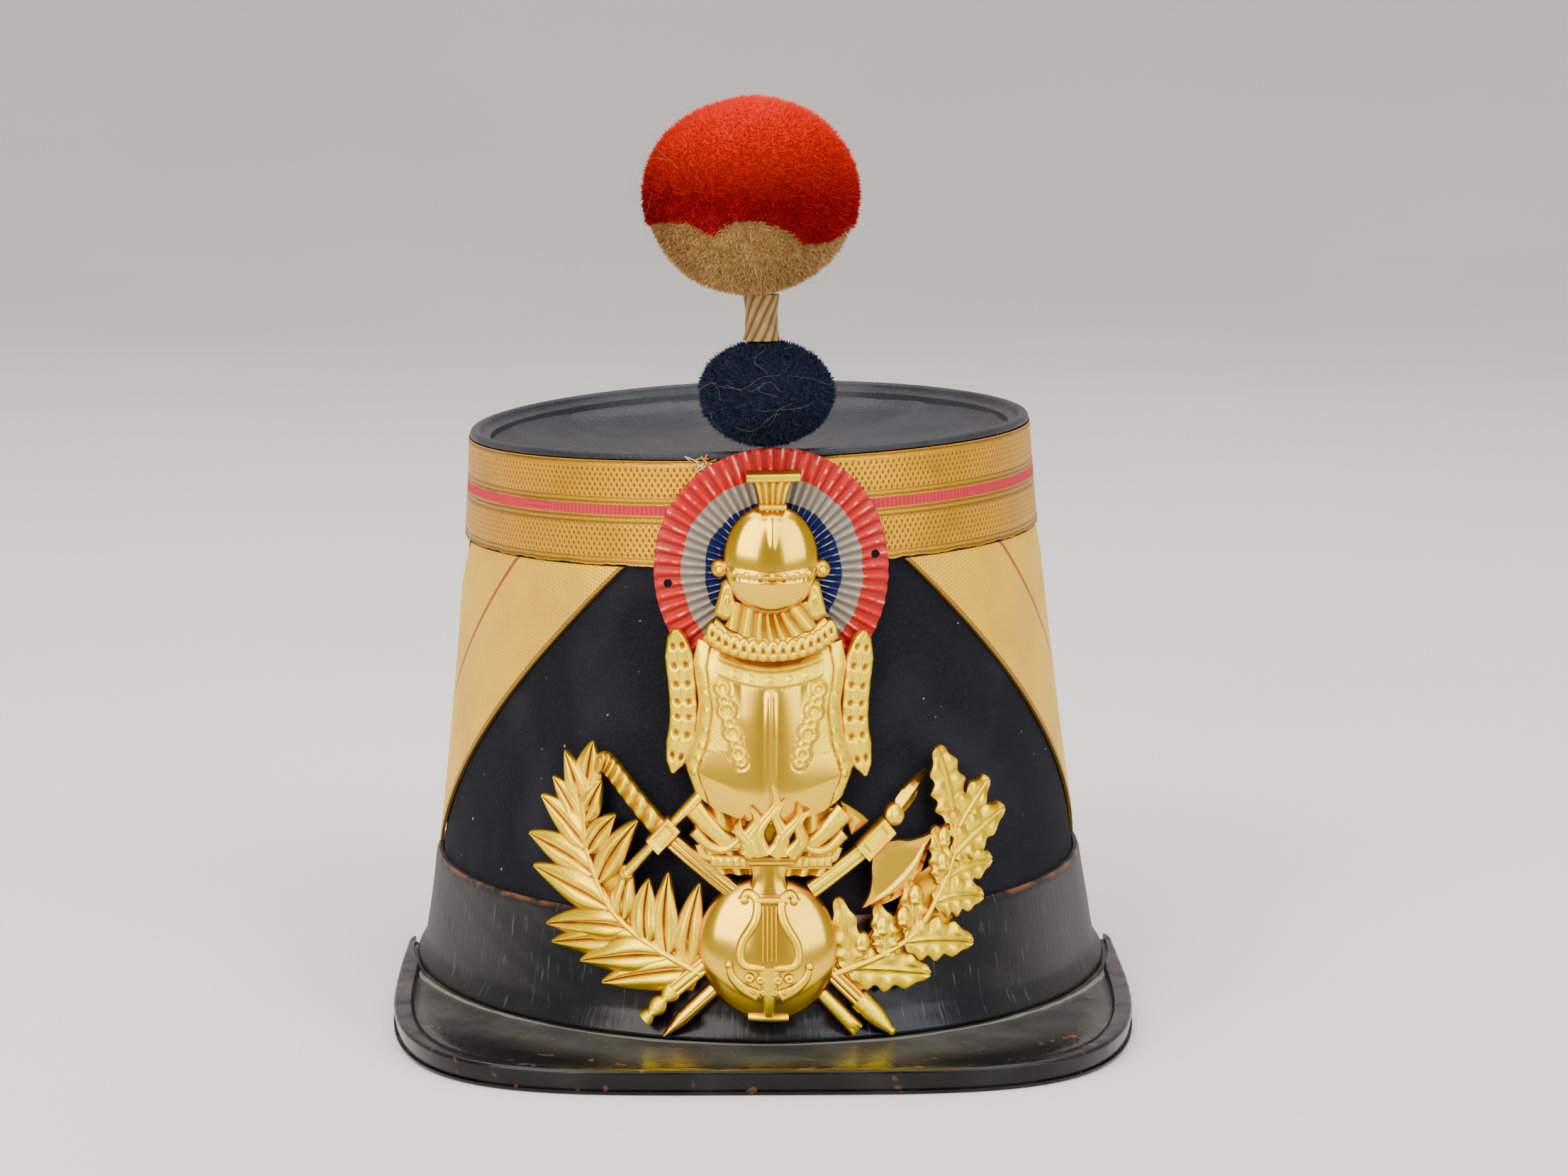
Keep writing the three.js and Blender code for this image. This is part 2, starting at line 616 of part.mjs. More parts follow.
function oakBranch() {
  const curve = stemCurve(OAK_STEM);
  const lobes = (t) => 0.78 + 0.22 * Math.cos(6 * Math.PI * t);
  const width = (t) => 0.12 + 0.88 * Math.sin(Math.PI * t ** 0.8) ** 0.6 * lobes(t);
  return [
    strip(curve.getPoints(8), even(0.9), even(0.24)),
    ...OAK.map((row) => leaf(curve, row, 6, width, 0.22)),
    ...ACORNS.map(([x, y]) => boss(oval(x, y, 2.0, 2.5, 6), [x, y], RIM, 0.16, 1)),
  ];
}

// Sabre: grip with its bent pommel, crossguard, and the scabbard that passes behind the ball
function sabre() {
  const grip = smoothPath([[-43.2, 65.2], [-41.6, 67.6], [-38.8, 66.0], [-33.4, 60.4], [-26, 53]], 9);
  const guard = { from: [-34.6, 42.2], to: [-16.0, 62.2] };
  const knob = ([x, y]) => boss(oval(x, y, 1.9, 1.9, 6), [x, y], 0.2, 0.12, 1);
  const chape = (t) => 0.7 + 1.7 * Math.sin(Math.PI * (0.3 + 0.65 * t));
  return [
    strip(grip, (t) => 1.1 + 1.35 * Math.min(1, t * 3), even(0.42)),
    strip(line(guard.from, guard.to), even(1.25), even(0.36)),
    strip(line([-28, 48.9], [-22.6, 54.7]), even(2.1), even(0.44), 0.38),
    knob(guard.from),
    knob(guard.to),
    strip(line([-24, 51.2], [-8, 39.4]), even(2.2), even(0.34)),
    strip(line([12, 24], [22.5, 14.2]), even(1.9), even(0.3)),
    strip(line([22.5, 14.2], [29.6, 7.7], 4), chape, even(0.3)),
    boss(oval(30.0, 7.3, 0.9, 0.9, 6), [30.0, 7.3], RIM, 0.12, 1),
    strip(line([10, 19], [21.4, 7.8]), (t) => 1.5 + 0.3 * t, even(0.26)),
  ];
}

// Axe: spear point, collar, framed socket, crescent blade, back spike and fluted shaft
function axe() {
  const blade = [
    [24.6, 48.3], [29.0, 52.2], [31.5, 51.1], [34.7, 50.8], [38.5, 51.4], [41.6, 52.4], [40.6, 48.6],
    [38.4, 43.6], [35.2, 39.8], [31.2, 37.4], [27.0, 36.2], [22.4, 35.8], [24.3, 39.0], [25.1, 42.5],
  ];
  const spike = [[17.0, 60.8], [19.6, 52.8], [24.2, 55.9], [21.4, 58.2]];
  const finial = (t) => 1.2 + 1.5 * Math.sin(Math.PI * (0.15 + 0.8 * t));
  return [
    plate(blade, 0.17),
    boss(spike, [21.0, 56.2], RIM, 0.1, 1),
    strip(line([31.0, 57.3], [39.6, 66.6], 4), (t) => 1.5 - 0.6 * t + 0.9 * Math.sin(Math.PI * t), even(0.3)),
    boss(oval(30.6, 57.0, 2.6, 2.6, 8), [30.6, 57.0], 0.2, 0.22, 1),
    strip(line([22.4, 48.8], [29.6, 55.2]), even(2.5), even(0.42), 0.36),
    strip(line([22.6, 49.2], [10.0, 40.2]), even(2.0), even(0.32)),
    strip(line([-12, 25], [-22.5, 16.0]), even(2.0), even(0.3)),
    strip(line([-22.5, 16.0], [-29.8, 8.2], 4), finial, even(0.32)),
    strip(line([-10, 19.5], [-25.0, 5.0], 4), (t) => 0.25 + 1.35 * Math.min(1, 3 * (1 - t)), even(0.26)),
  ];
}

// Plate armour: closed helmet on a gorget, breastplate, shoulder flaps and skirt
const BREAST = [                // the right half, from the neck down to the point at the waist
  [0, 92.4], [7, 93.4], [13, 97.2], [17.2, 98.6], [18.6, 92], [17.2, 84], [17.0, 78], [18.4, 72],
  [20.4, 67.6], [18.0, 62.4], [13.4, 59.2], [6.6, 56.8],
];

const FLAP_FOLDS = 6;           // ripples down each shoulder flap

function armour() {
  const breast = [...BREAST, [0, 56.2], ...mirror(BREAST.slice(1)).reverse()];
  const neck = [[-13.6, 101.4], [-8.6, 106.6], [8.6, 106.6], [13.6, 101.4], [9, 93.0], [0, 90.8], [-9, 93.0]];
  const hem = [
    [-18, 60], [-17.2, 52.5], [-14.4, 46.6], [-12, 43.6], [12, 43.6], [15, 46.8], [18, 52.5], [19, 60],
  ];
  const parts = [
    boss(breast, [0, 76], 0.2, 0.5, 3),
    strip(line([0, 62], [0, 91], 5), even(1.3), (t) => 0.55 + 0.18 * Math.sin(Math.PI * t), 0.3),
    boss(neck, [0, 100], 0.3, 0.22, 1),
    plate(hem, 0.2),
    strip(line([-13.6, 46.8], [14.2, 46.8]), even(1.6), even(0.38), 0.3),
    strip(line([-4.6, 47.6], [5.0, 47.6]), even(1.25), even(0.56), 0.46),
    plate([[-6, 40], [6, 40], [6, 48], [-6, 48]], 0.34),
  ];
  for (const side of [-1, 1]) {
    const flap = [[21.9, 99.4], [21.4, 92], [20.4, 84], [20.6, 77], [22.4, 68.6]];
    const path = smoothPath(flap.map(([x, y]) => [side * x, y]), 2 * FLAP_FOLDS);
    const ridge = (t) => Math.abs(Math.cos(FLAP_FOLDS * Math.PI * t));
    parts.push(strip(path, (t) => 3.2 + 0.7 * ridge(t), (t) => 0.3 + 0.16 * ridge(t), 0.26));
    const turned = (points) => points.map(([x, y]) => [side * x, y]);
    const fold = smoothPath(turned([[17.6, 58.8], [13.5, 54.6], [9, 51.4], [4.2, 51.6]]), 4);
    parts.push(strip(fold, (t) => 2.7 - 1.3 * t, even(0.46), 0.24));
    const curl = smoothPath(turned([[17.6, 53.5], [14, 50.4], [10.4, 49.8], [6.6, 52.6]]), 4);
    parts.push(strip(curl, (t) => 1.5 - 0.7 * t, even(0.4), 0.22));
    const collar = smoothPath(turned([[0, 97.6], [6.6, 98.5], [12.6, 102.2]]), 4);
    parts.push(strip(collar, even(1.9), even(0.6), 0.46));
  }
  return parts;
}

function helmet() {
  const skull = Array.from({ length: 20 }, (none, i) => {
    const t = 2 * Math.PI * i / 20;
    return [11.1 * Math.cos(t), 117 + (Math.sin(t) > 0 ? 13.4 : 12.6) * Math.sin(t)];
  });
  const cheek = [[10.6, 113], [12.4, 105.5], [7, 100], [0, 100], [0, 108]];
  const guard = (side) => plate(cheek.map(([x, y]) => [side * x, y]), 0.34);
  const jaw = [[-10.4, 113.4], [0, 112.6], [10.4, 113.4], [7.4, 107.2], [0, 103.8], [-7.4, 107.2]];
  return [
    boss(skull, [0, 117.5], 0.28, 0.6, 3),
    boss(jaw, [0, 110], 0.62, 0.3, 1),
    guard(-1),
    guard(1),
    ...[-1, 1].map((side) => boss(oval(side * 12.1, 115.3, 1.5, 1.5, 6), [side * 12.1, 115.3], 0.3, 0.14, 1)),
    strip(line([0, 128.5], [0, 136.4], 3), (t) => 2.7 + 1.9 * t * t, even(0.54), 0.36),
    strip(line([-5.9, 137.1], [5.9, 137.1]), even(1.15), even(0.7), 0.56),
  ];
}

// The flames above the ball's neck, each a wavy tongue
const FLAMES = [                // right: of the root, tip in squares, sway to one side
  { right: -3.6, tip: [-4.6, 60.6], sway: -1.3 },
  { right: -1.6, tip: [0.2, 66.4], sway: -1.7 },
  { right: 0.8, tip: [3.6, 62.6], sway: 1.4 },
  { right: 2.6, tip: [6.6, 61.6], sway: -1.2 },
  { right: 4.6, tip: [9.2, 60.0], sway: 1.2 },
];

function flames() {
  return FLAMES.map(({ right, tip, sway }) => {
    const low = [right, 49.5];
    const mix = (share) => [low[0] + (tip[0] - low[0]) * share, low[1] + (tip[1] - low[1]) * share];
    const [a, b] = [mix(0.33), mix(0.7)];
    const path = smoothPath([low, [a[0] + sway, a[1]], [b[0] - sway, b[1]], tip], 5);
    return strip(path, (t) => 0.15 + 1.5 * (1 - t) ** 0.6, (t) => 0.72 + 0.1 * t, 0.5);
  });
}

// Lyre on the ball: two curved arms, a crossbar, the strings and a footed base
const LYRE_ARM = [[6.4, 38.2], [4.6, 40.0], [2.9, 38.2], [3.4, 34.2], [6.4, 28.4], [6.0, 24.2], [1.2, 23.6]];

function ball() {
  const middle = [0, BALL_SQUARES];
  const radius = 16.7;
  const dome = (x, y) => {
    const away = Math.hypot(x, y - middle[1]) / radius;
    return 0.12 + 0.62 * Math.sqrt(Math.max(0, 1 - away ** 2));
  };
  const parts = [boss(oval(0, middle[1], radius, radius, 20), middle, 0.12, 0.62, 4)];
  for (const side of [-1, 1]) {
    const arm = smoothPath(LYRE_ARM.map(([x, y]) => [side * x, y]), 8);
    const high = (t) => {
      const spot = arm[Math.round(t * (arm.length - 1))];
      return dome(spot.x, spot.y) + 0.11;
    };
    parts.push(strip(arm, even(0.9), high, 0));
    const scroll = smoothPath([[9.2, 23.6], [6.8, 19.0], [3.0, 16.6]].map(([x, y]) => [side * x, y]), 4);
    parts.push(strip(scroll, (t) => 0.8 + 0.9 * t, (t) => dome(9.2 - 6.2 * t, 23.6 - 7 * t) + 0.1, 0.8));
  }
  parts.push(
    strip(line([-3.2, 38.6], [3.2, 38.6], 1), even(0.9), even(dome(0, 38.6) + 0.12), 0.7),
    strip(line([0, 25.0], [0, 38.0], 3), even(1.9), even(dome(0, 30) + 0.07), 0.76),
    strip(line([0, 11.6], [0, 23.4], 3), (t) => 1.4 + 1.6 * t, (t) => dome(0, 11.6 + 11.8 * t) + 0.12, 0.7),
    strip(line([-4.4, 11.4], [4.4, 11.4]), even(0.9), even(dome(0, 11.4) + 0.18), 0.4),
  );
  return parts;
}

// Splits long edges across the emblem so that its flat back can follow the wall
function splitWide(geometry, limit) {
  const points = Array.from({ length: geometry.attributes.position.count }, (none, i) => (
    new THREE.Vector3().fromBufferAttribute(geometry.attributes.position, i).toArray()));
  let faces = [];
  const source = geometry.index.array;
  for (let i = 0; i < source.length; i += 3) faces.push([source[i], source[i + 1], source[i + 2]]);
  for (let busy = true; busy;) {
    const middles = new Map();
    const middle = (a, b) => {
      if (Math.abs(points[a][0] - points[b][0]) <= limit) return -1;
      const key = a < b ? `${a} ${b}` : `${b} ${a}`;
      if (!middles.has(key)) {
        points.push(points[a].map((v, k) => (v + points[b][k]) / 2));
        middles.set(key, points.length - 1);
      }
      return middles.get(key);
    };
    const next = [];
    for (let [a, b, c] of faces) {
      const wide = (p, q) => Math.abs(points[p][0] - points[q][0]);
      while (wide(a, b) < Math.max(wide(b, c), wide(c, a))) [a, b, c] = [b, c, a];
      const [ab, bc, ca] = [middle(a, b), middle(b, c), middle(c, a)];
      if (ab < 0) next.push([a, b, c]);
      else if (bc < 0 && ca < 0) next.push([a, ab, c], [ab, b, c]);
      else if (ca < 0) next.push([ab, b, bc], [a, ab, bc], [a, bc, c]);
      else if (bc < 0) next.push([a, ab, ca], [ab, b, ca], [b, c, ca]);
      else next.push([a, ab, ca], [ab, b, bc], [ca, bc, c], [ab, bc, ca]);
    }
    busy = middles.size > 0;
    faces = next;
  }
  return meshGeometry(points, faces.flat());
}

function emblem() {
  const parts = [
    ...laurelBranch(), ...oakBranch(), ...axe(), ...sabre(), ...armour(), ...helmet(), ...flames(), ...ball(),
  ];
  const fused = parts.reduce((sum, part) => sum.add(part));
  const geometry = splitWide(fromManifold(fused), EMBLEM_SPAN);
  const at = geometry.attributes.position;
  const lean = rad(EMBLEM_LEAN);
  for (let i = 0; i < at.count; i += 1) {
    const right = at.getX(i);
    const up = at.getY(i) - EMBLEM_UP;
    const along = EMBLEM_ALONG + right * Math.cos(lean) + up * Math.sin(lean);
    const z = EMBLEM_UP + up * Math.cos(lean) - right * Math.sin(lean);
    const spot = alongWall(along, z, EMBLEM_BACK + at.getZ(i));
    at.setXYZ(i, spot.x, spot.y, spot.z);
  }
  return closedBody(geometry);
}

// Pompom: two wool balls on a corded stem, held by a wire that goes down inside the body
const rimFront = wallPoint(FRONT, BODY_HEIGHT, 0);
const wireSpot = new THREE.Vector3(rimFront.x + WIRE_RIGHT, rimFront.y + WIRE_INSET, 0);
const smallBallFoot = rimFront.z + Math.max(TOP_ROLL, COCKADE_RISE - BALL_SEAT) + GAP;
const stemFoot = smallBallFoot + SMALL_BALL_HEIGHT + GAP;
const pompomFoot = stemFoot + STEM_LENGTH + GAP;
const smallBallMiddle = smallBallFoot + SMALL_BALL_HEIGHT / 2;
const smallBallSpot = new THREE.Vector3(wireSpot.x, rimFront.y + BALL_BACK, smallBallMiddle);
const stemSpot = [smallBallSpot.x + POMPOM_LEAN / 3, smallBallSpot.y, stemFoot];
const pompomSpot = [
  smallBallSpot.x + POMPOM_LEAN, smallBallSpot.y - POMPOM_DROP, pompomFoot + POMPOM_HEIGHT / 2 - RED_CAP_STEP,
];

// A wool ball whose pile stands in rows of staggered locks
function woolBall(width, height, around, rows, capStep) {
  const geometry = new THREE.SphereGeometry(0.5, around, rows);
  geometry.rotateX(Math.PI / 2);
  const body = closedBody(geometry);
  const at = body.attributes.position;
  const v = new THREE.Vector3();
  for (let i = 0; i < at.count; i += 1) {
    v.fromBufferAttribute(at, i).normalize();
    const angle = Math.atan2(v.y, v.x);
    const row = Math.round(Math.acos(THREE.MathUtils.clamp(v.z, -1, 1)) / Math.PI * rows);
    const column = Math.round(angle / (2 * Math.PI) * around);
    const lock = Math.abs(v.z) > 0.97 ? 0.5 : ((row + column) % 2 === 0 ? 1 : 0);
    const border = -0.28 + 0.07 * Math.sin(3 * angle + 0.6) + 0.04 * Math.sin(7 * angle);
    const cap = v.z > border ? capStep : 0;
    const inset = LOCK_DEPTH * (1 - lock) * Math.sqrt(Math.max(0, 1 - v.z * v.z)) + (capStep - cap);
    const out = new THREE.Vector3(v.x * width / 2, v.y * width / 2, v.z * height / 2);
    out.addScaledVector(v, -inset);
    at.setXYZ(i, out.x, out.y, out.z);
  }
  return body;
}

// The stem's cord covering shows as shallow turns
function cordedStem() {
  const steps = 2 * STEM_TURNS;
  const profile = [new THREE.Vector2(0, 0)];
  for (let i = 0; i <= steps; i += 1) {
    const groove = i % 2 === 0 ? STEM_GROOVE : 0;
    profile.push(new THREE.Vector2(STEM_WIDTH / 2 - groove, STEM_LENGTH * i / steps));
  }
  profile.push(new THREE.Vector2(0, STEM_LENGTH));
  const stem = new THREE.LatheGeometry(profile, 10);
  stem.rotateX(Math.PI / 2);
  return closedBody(stem);
}

function wireTail() {
  const top = smallBallFoot - GAP;
  const length = top - (BODY_HEIGHT - TOP_SINK - TOP_LEATHER - WIRE_TAIL);
  const wire = new THREE.CylinderGeometry(WIRE / 2, WIRE / 2, length, 8);
  wire.rotateX(Math.PI / 2);
  wire.translate(wireSpot.x, wireSpot.y, top - length / 2);
  return closedBody(wire);
}

const finish = (color, roughness, metalness) => (
  new THREE.MeshStandardMaterial({ color, roughness, metalness }));
const CLOTH = finish('#1d1e26', 0.95, 0);
const BLACK_LEATHER = finish('#1f2023', 0.35, 0);
const VISOR_LEATHER = finish('#33352f', 0.45, 0);
const GOLD_LACE = finish('#b48a35', 0.55, 0.6);
const PALE_LACE = finish('#d9b968', 0.55, 0.5);
const PAINT = finish('#c8301f', 0.5, 0.3);
const BRASS = finish('#e8b534', 0.25, 1);
const RED_WOOL = finish('#c3220f', 1, 0);
const NAVY_WOOL = finish('#1a2136', 1, 0);
const CORD = finish('#a08560', 0.9, 0);
const STEEL = finish('#8a8a8a', 0.4, 1);

const hat = new THREE.Group();
const place = (name, geometry, material, spot = [0, 0, 0]) => {
  const mesh = new THREE.Mesh(geometry, material);
  mesh.name = name;
  mesh.position.set(...spot);
  hat.add(mesh);
};

place('body_shell', bodyShell(), CLOTH);
place('crown_top', crownTop(), BLACK_LEATHER);
place('top_lace', topLace(), GOLD_LACE);
place('side_chevron_right', chevron(1), PALE_LACE);
place('side_chevron_left', chevron(-1), PALE_LACE);
place('leather_band', leatherBand(), BLACK_LEATHER);
place('visor', visorSheet(), VISOR_LEATHER);
place('visor_binding', visorBinding(), BLACK_LEATHER);
place('cockade', cockade(), PAINT);
place('emblem', emblem(), BRASS);
place('pompom_wire', wireTail(), STEEL);
const smallBall = woolBall(SMALL_BALL_WIDTH, SMALL_BALL_HEIGHT, 16, 9, 0);
place('pompom_small_ball', smallBall, NAVY_WOOL, smallBallSpot.toArray());
place('pompom_stem', cordedStem(), CORD, stemSpot);
place('pompom_big_ball', woolBall(POMPOM_WIDTH, POMPOM_HEIGHT, 22, 12, RED_CAP_STEP), RED_WOOL, pompomSpot);

// The origin is the middle of the hat's foot
const box = new THREE.Box3().setFromObject(hat);
const middle = box.getCenter(new THREE.Vector3());
hat.position.set(-middle.x, -middle.y, -box.min.z);
hat.updateMatrixWorld(true);

export default hat;
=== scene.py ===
"""The looks of a leather and cloth shako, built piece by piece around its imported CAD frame."""

import math

import bpy
import numpy as np
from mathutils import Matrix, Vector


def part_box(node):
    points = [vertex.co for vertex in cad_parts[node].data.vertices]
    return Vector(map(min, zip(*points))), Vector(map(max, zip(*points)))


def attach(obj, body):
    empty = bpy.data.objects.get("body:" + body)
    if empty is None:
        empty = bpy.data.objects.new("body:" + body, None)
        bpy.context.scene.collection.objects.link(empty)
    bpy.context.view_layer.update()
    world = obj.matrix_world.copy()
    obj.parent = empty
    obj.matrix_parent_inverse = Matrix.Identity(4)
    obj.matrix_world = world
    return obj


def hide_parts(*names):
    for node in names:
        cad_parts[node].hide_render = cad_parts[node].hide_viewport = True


bl_info = {
    "name": "Shako hat",
    "version": (1, 0, 0),
    "blender": (4, 5, 0),
    "location": "View3D > Sidebar > Shako",
    "description": "Builds a shako with its lace, emblem, cockade and pompom",
    "category": "Object",
}

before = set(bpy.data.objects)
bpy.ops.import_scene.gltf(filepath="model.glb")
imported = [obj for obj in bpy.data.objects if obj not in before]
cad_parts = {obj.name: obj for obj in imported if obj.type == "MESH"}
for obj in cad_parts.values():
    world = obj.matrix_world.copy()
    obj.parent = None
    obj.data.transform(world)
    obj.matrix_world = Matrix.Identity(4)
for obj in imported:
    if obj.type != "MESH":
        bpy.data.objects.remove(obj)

MM = 0.001
FRONT = -math.pi / 2
SHARP_EDGE = math.radians(50)

TAPER = np.array([      # share of the height, share of the half width
    (0, 1), (0.12, 0.966), (0.235, 0.941), (0.43, 0.899), (0.64, 0.863), (0.82, 0.837), (1, 0.818),
])


def size(name, description, millimetres):
    """A length property, kept in metres."""
    return bpy.props.FloatProperty(
        name=name, description=description, default=millimetres * MM, min=0.0,
        unit="LENGTH", subtype="DISTANCE", precision=4,
    )


def tint(name, description, code):
    """A colour property from a hex code."""
    return bpy.props.FloatVectorProperty(
        name=name, description=description, default=srgb(code), size=4,
        min=0.0, max=1.0, subtype="COLOR",
    )


def srgb(code):
    """A linear RGBA colour from an sRGB hex code."""
    channels = np.array([int(code[i:i + 2], 16) for i in (1, 3, 5)]) / 255
    low = channels / 12.92
    high = ((channels + 0.055) / 1.055) ** 2.4
    return (*np.where(channels <= 0.04045, low, high).tolist(), 1.0)


# Shape of the hat's wall

def hat_middle():
    """Where the middle of the body stands in the frame, in millimetres."""
    low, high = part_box("body_shell")
    return np.array([low[0] + high[0], low[1] + high[1], 0]) / 2 / MM


class Wall:
    """The leaning oval wall that every piece of the hat is laid on, in millimetres."""

    def __init__(self, sizes):
        self.height = sizes.body_height / MM
        self.wide = sizes.body_half_width / MM
        self.ratio = sizes.length_ratio
        self.taper = np.polynomial.Polynomial.fit(*TAPER.T, 4, domain=[0, 1], window=[0, 1])
        self.turns = np.linspace(0, math.pi, 721)
        middles = (self.turns[1:] + self.turns[:-1]) / 2 + FRONT
        steps = np.hypot(np.sin(middles), self.ratio * np.cos(middles)) * math.pi / 720
        self.arcs = np.concatenate([[0], np.cumsum(steps)])

    def half(self, z):
        """Half the wall's width at a height."""
        return self.wide * self.taper(np.asarray(z) / self.height)

    def point(self, angle, z, out):
        """A point by its angle from +X, height, and distance outside the cloth."""
        angle, z, out = np.broadcast_arrays(angle, z, out)
        up = z / self.height
        a = self.half(z)
        b = a * self.ratio
        c, s = np.cos(angle), np.sin(angle)
        n = np.hypot(c / a, s / b)
        rise = np.where(s < 0, 0.7, 1.4) * s * s + 2.3 * c
        return np.stack([
            -2.7 * up + a * c + out * c / a / n,
            3.9 * up + b * s + out * s / b / n,
            z + up * rise,
        ], axis=-1)

    def angle(self, along, z, out):
        """The angle that lies a length along the wall from the front, to the right if positive."""
        arc = np.abs(along) / (self.half(z) + out)
        return FRONT + np.sign(along) * np.interp(arc, self.arcs, self.turns)

    def along(self, along, z, out):
        """A point by its length along the wall from the front, height and distance outside."""
        return self.point(self.angle(along, z, out), z, out)


def smooth(value, low, high):
    """A smooth step from 0 at low to 1 at high."""
    t = np.clip((np.asarray(value, float) - low) / (high - low), 0, 1)
    return t * t * (3 - 2 * t)


def bump(value, middle, half):
    """A soft ridge, 1 at the middle and 0 a half width away."""
    t = np.clip(1 - (np.abs(np.asarray(value, float) - middle) / half) ** 2, 0, 1)
    return t * t * (3 - 2 * t)


def ripple(value, seed, steps=6):
    """A smooth uneven wave between about -1 and 1, the same for the same seed."""
    rng = np.random.default_rng(seed)
    value = np.asarray(value, float)
    total = np.zeros_like(value)
    for step in range(1, steps + 1):
        total += np.sin(value * step * rng.uniform(0.7, 1.3) + rng.uniform(0, 6.3)) / step
    return total / 1.8


class Piece:
    """Gathers closed shells with pattern coordinates and finishes, then makes one mesh."""

    def __init__(self):
        self.points = []
        self.crests = []
        self.faces = []         # (corner indices, pattern coordinates, finish) with one row per face
        self.count = 0

    def add(self, points, crest):
        """Keeps a shell's points and crests, and gives the number of its first point."""
        start = self.count
        self.points.append(points.reshape(-1, 3))
        self.crests.append(np.broadcast_to(crest, points.shape[:-1]).reshape(-1))
        self.count += len(self.points[-1])
        return start

    def loft(self, loops, ring=False, marks=None, crest=0.0, finish=0):
        """A closed shell through sections: loops is stations by section points by 3."""
        loops = np.asarray(loops, float)
        rows, cols = loops.shape[:2]
        start = self.add(loops, crest)
        last = rows if ring else rows - 1
        r, c = np.meshgrid(np.arange(last), np.arange(cols), indexing="ij")
        q, d = (r + 1) % rows, (c + 1) % cols
        corners = np.stack([r * cols + c, q * cols + c, q * cols + d, r * cols + d], axis=-1)
        if marks is None:
            marks = np.zeros((last + 1, cols, 2))
        marks = np.broadcast_to(marks, (last + 1, cols, 2))
        coords = np.stack([marks[r, c], marks[r + 1, c], marks[r + 1, d], marks[r, d]], axis=-2)
        kinds = np.broadcast_to(finish, (last, cols)).reshape(-1)
        corners, coords = corners.reshape(-1, 4), coords.reshape(-1, 4, 2)
        flat = loops.reshape(-1, 3)
        a, b, e, f = (flat[corners[:, k]] for k in range(4))
        middle = flat.mean(axis=0)
        volume = np.einsum("ij,ij->", np.cross(b - a, e - a), a - middle)
        volume += np.einsum("ij,ij->", np.cross(e - a, f - a), a - middle)
        sign = -1 if volume < 0 else 1
        self.faces.append((corners[:, ::sign] + start, coords[:, ::sign], kinds))
        if not ring:
            front = np.arange(cols)
            back = front[::-1] + (rows - 1) * cols
            for cap, at in ((front, marks[0]), (back, marks[-1])):
                order = cap[::sign]
                self.faces.append((order[None] + start, at[order % cols][None], kinds[:1]))

    def spikes(self, feet, tips, radius, crest=0.0, finish=0):
        """Thin closed fibres, each a three-sided spike from its foot to its tip."""
        axis = tips - feet
        length = np.linalg.norm(axis, axis=1, keepdims=True)
        axis = axis / np.maximum(length, 1e-9)
        helper = np.where(np.abs(axis[:, 2:]) < 0.9, [[0.0, 0.0, 1.0]], [[1.0, 0.0, 0.0]])
        side = np.cross(axis, helper)
        side /= np.linalg.norm(side, axis=1, keepdims=True)
        other = np.cross(axis, side)
        radius = np.broadcast_to(radius, len(feet))[:, None]
        ring = [feet + radius * (side * math.cos(t) + other * math.sin(t))
                for t in (0, 2 * math.pi / 3, 4 * math.pi / 3)]
        points = np.stack([*ring, tips], axis=1)
        start = self.add(points, np.broadcast_to(np.reshape(crest, (-1, 1)), points.shape[:2]))
        base = start + 4 * np.arange(len(feet))[:, None]
        kinds = np.broadcast_to(finish, len(feet))
        for corner in ((0, 1, 3), (1, 2, 3), (2, 0, 3), (2, 1, 0)):
            coords = np.zeros((len(feet), 3, 2))
            self.faces.append((base + np.array(corner), coords, kinds))

    def make(self, name, materials):
        """The finished object, riding on the hat's one body."""
        mesh = bpy.data.meshes.new(name)
        points = (np.concatenate(self.points) + hat_middle()) * MM
        corners = np.concatenate([rows.reshape(-1) for rows, _, _ in self.faces])
        sizes = np.concatenate([np.full(len(rows), rows.shape[1]) for rows, _, _ in self.faces])
        mesh.vertices.add(len(points))
        mesh.vertices.foreach_set("co", points.reshape(-1))
        mesh.loops.add(len(corners))
        mesh.loops.foreach_set("vertex_index", corners.astype(np.int32))
        mesh.polygons.add(len(sizes))
        starts = np.concatenate([[0], np.cumsum(sizes)[:-1]])
        kinds = np.concatenate([kinds for _, _, kinds in self.faces])
        mesh.polygons.foreach_set("loop_start", starts.astype(np.int32))
        mesh.polygons.foreach_set("material_index", kinds.astype(np.int32))
        mesh.update(calc_edges=True)
        layer = mesh.uv_layers.new(name="Pattern")
        layer.data.foreach_set("uv", np.concatenate([c.reshape(-1) for _, c, _ in self.faces]))
        crest = mesh.attributes.new("crest", "FLOAT", "POINT")
        crest.data.foreach_set("value", np.concatenate(self.crests))
        mesh.polygons.foreach_set("use_smooth", np.ones(len(sizes), bool))
        mesh.set_sharp_from_angle(angle=SHARP_EDGE)
        if mesh.validate():
            raise RuntimeError(f"the mesh of {name} had faulty faces")
        for material in materials:
            mesh.materials.append(material)
        thing = bpy.data.objects.new(name, mesh)
        bpy.context.scene.collection.objects.link(thing)
        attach(thing, "root")
        return thing


# Materials, each named for what the real one is and how it was made

def new_material(name, rough, metal=0.0, gloss=0.5):
    """A new material, its node tree and its shader."""
    material = bpy.data.materials.new(name)
    material.use_nodes = True
    shader = material.node_tree.nodes["Principled BSDF"]
    shader.inputs["Roughness"].default_value = rough
    shader.inputs["Metallic"].default_value = metal
    shader.inputs["Specular IOR Level"].default_value = gloss
    return material, material.node_tree, shader


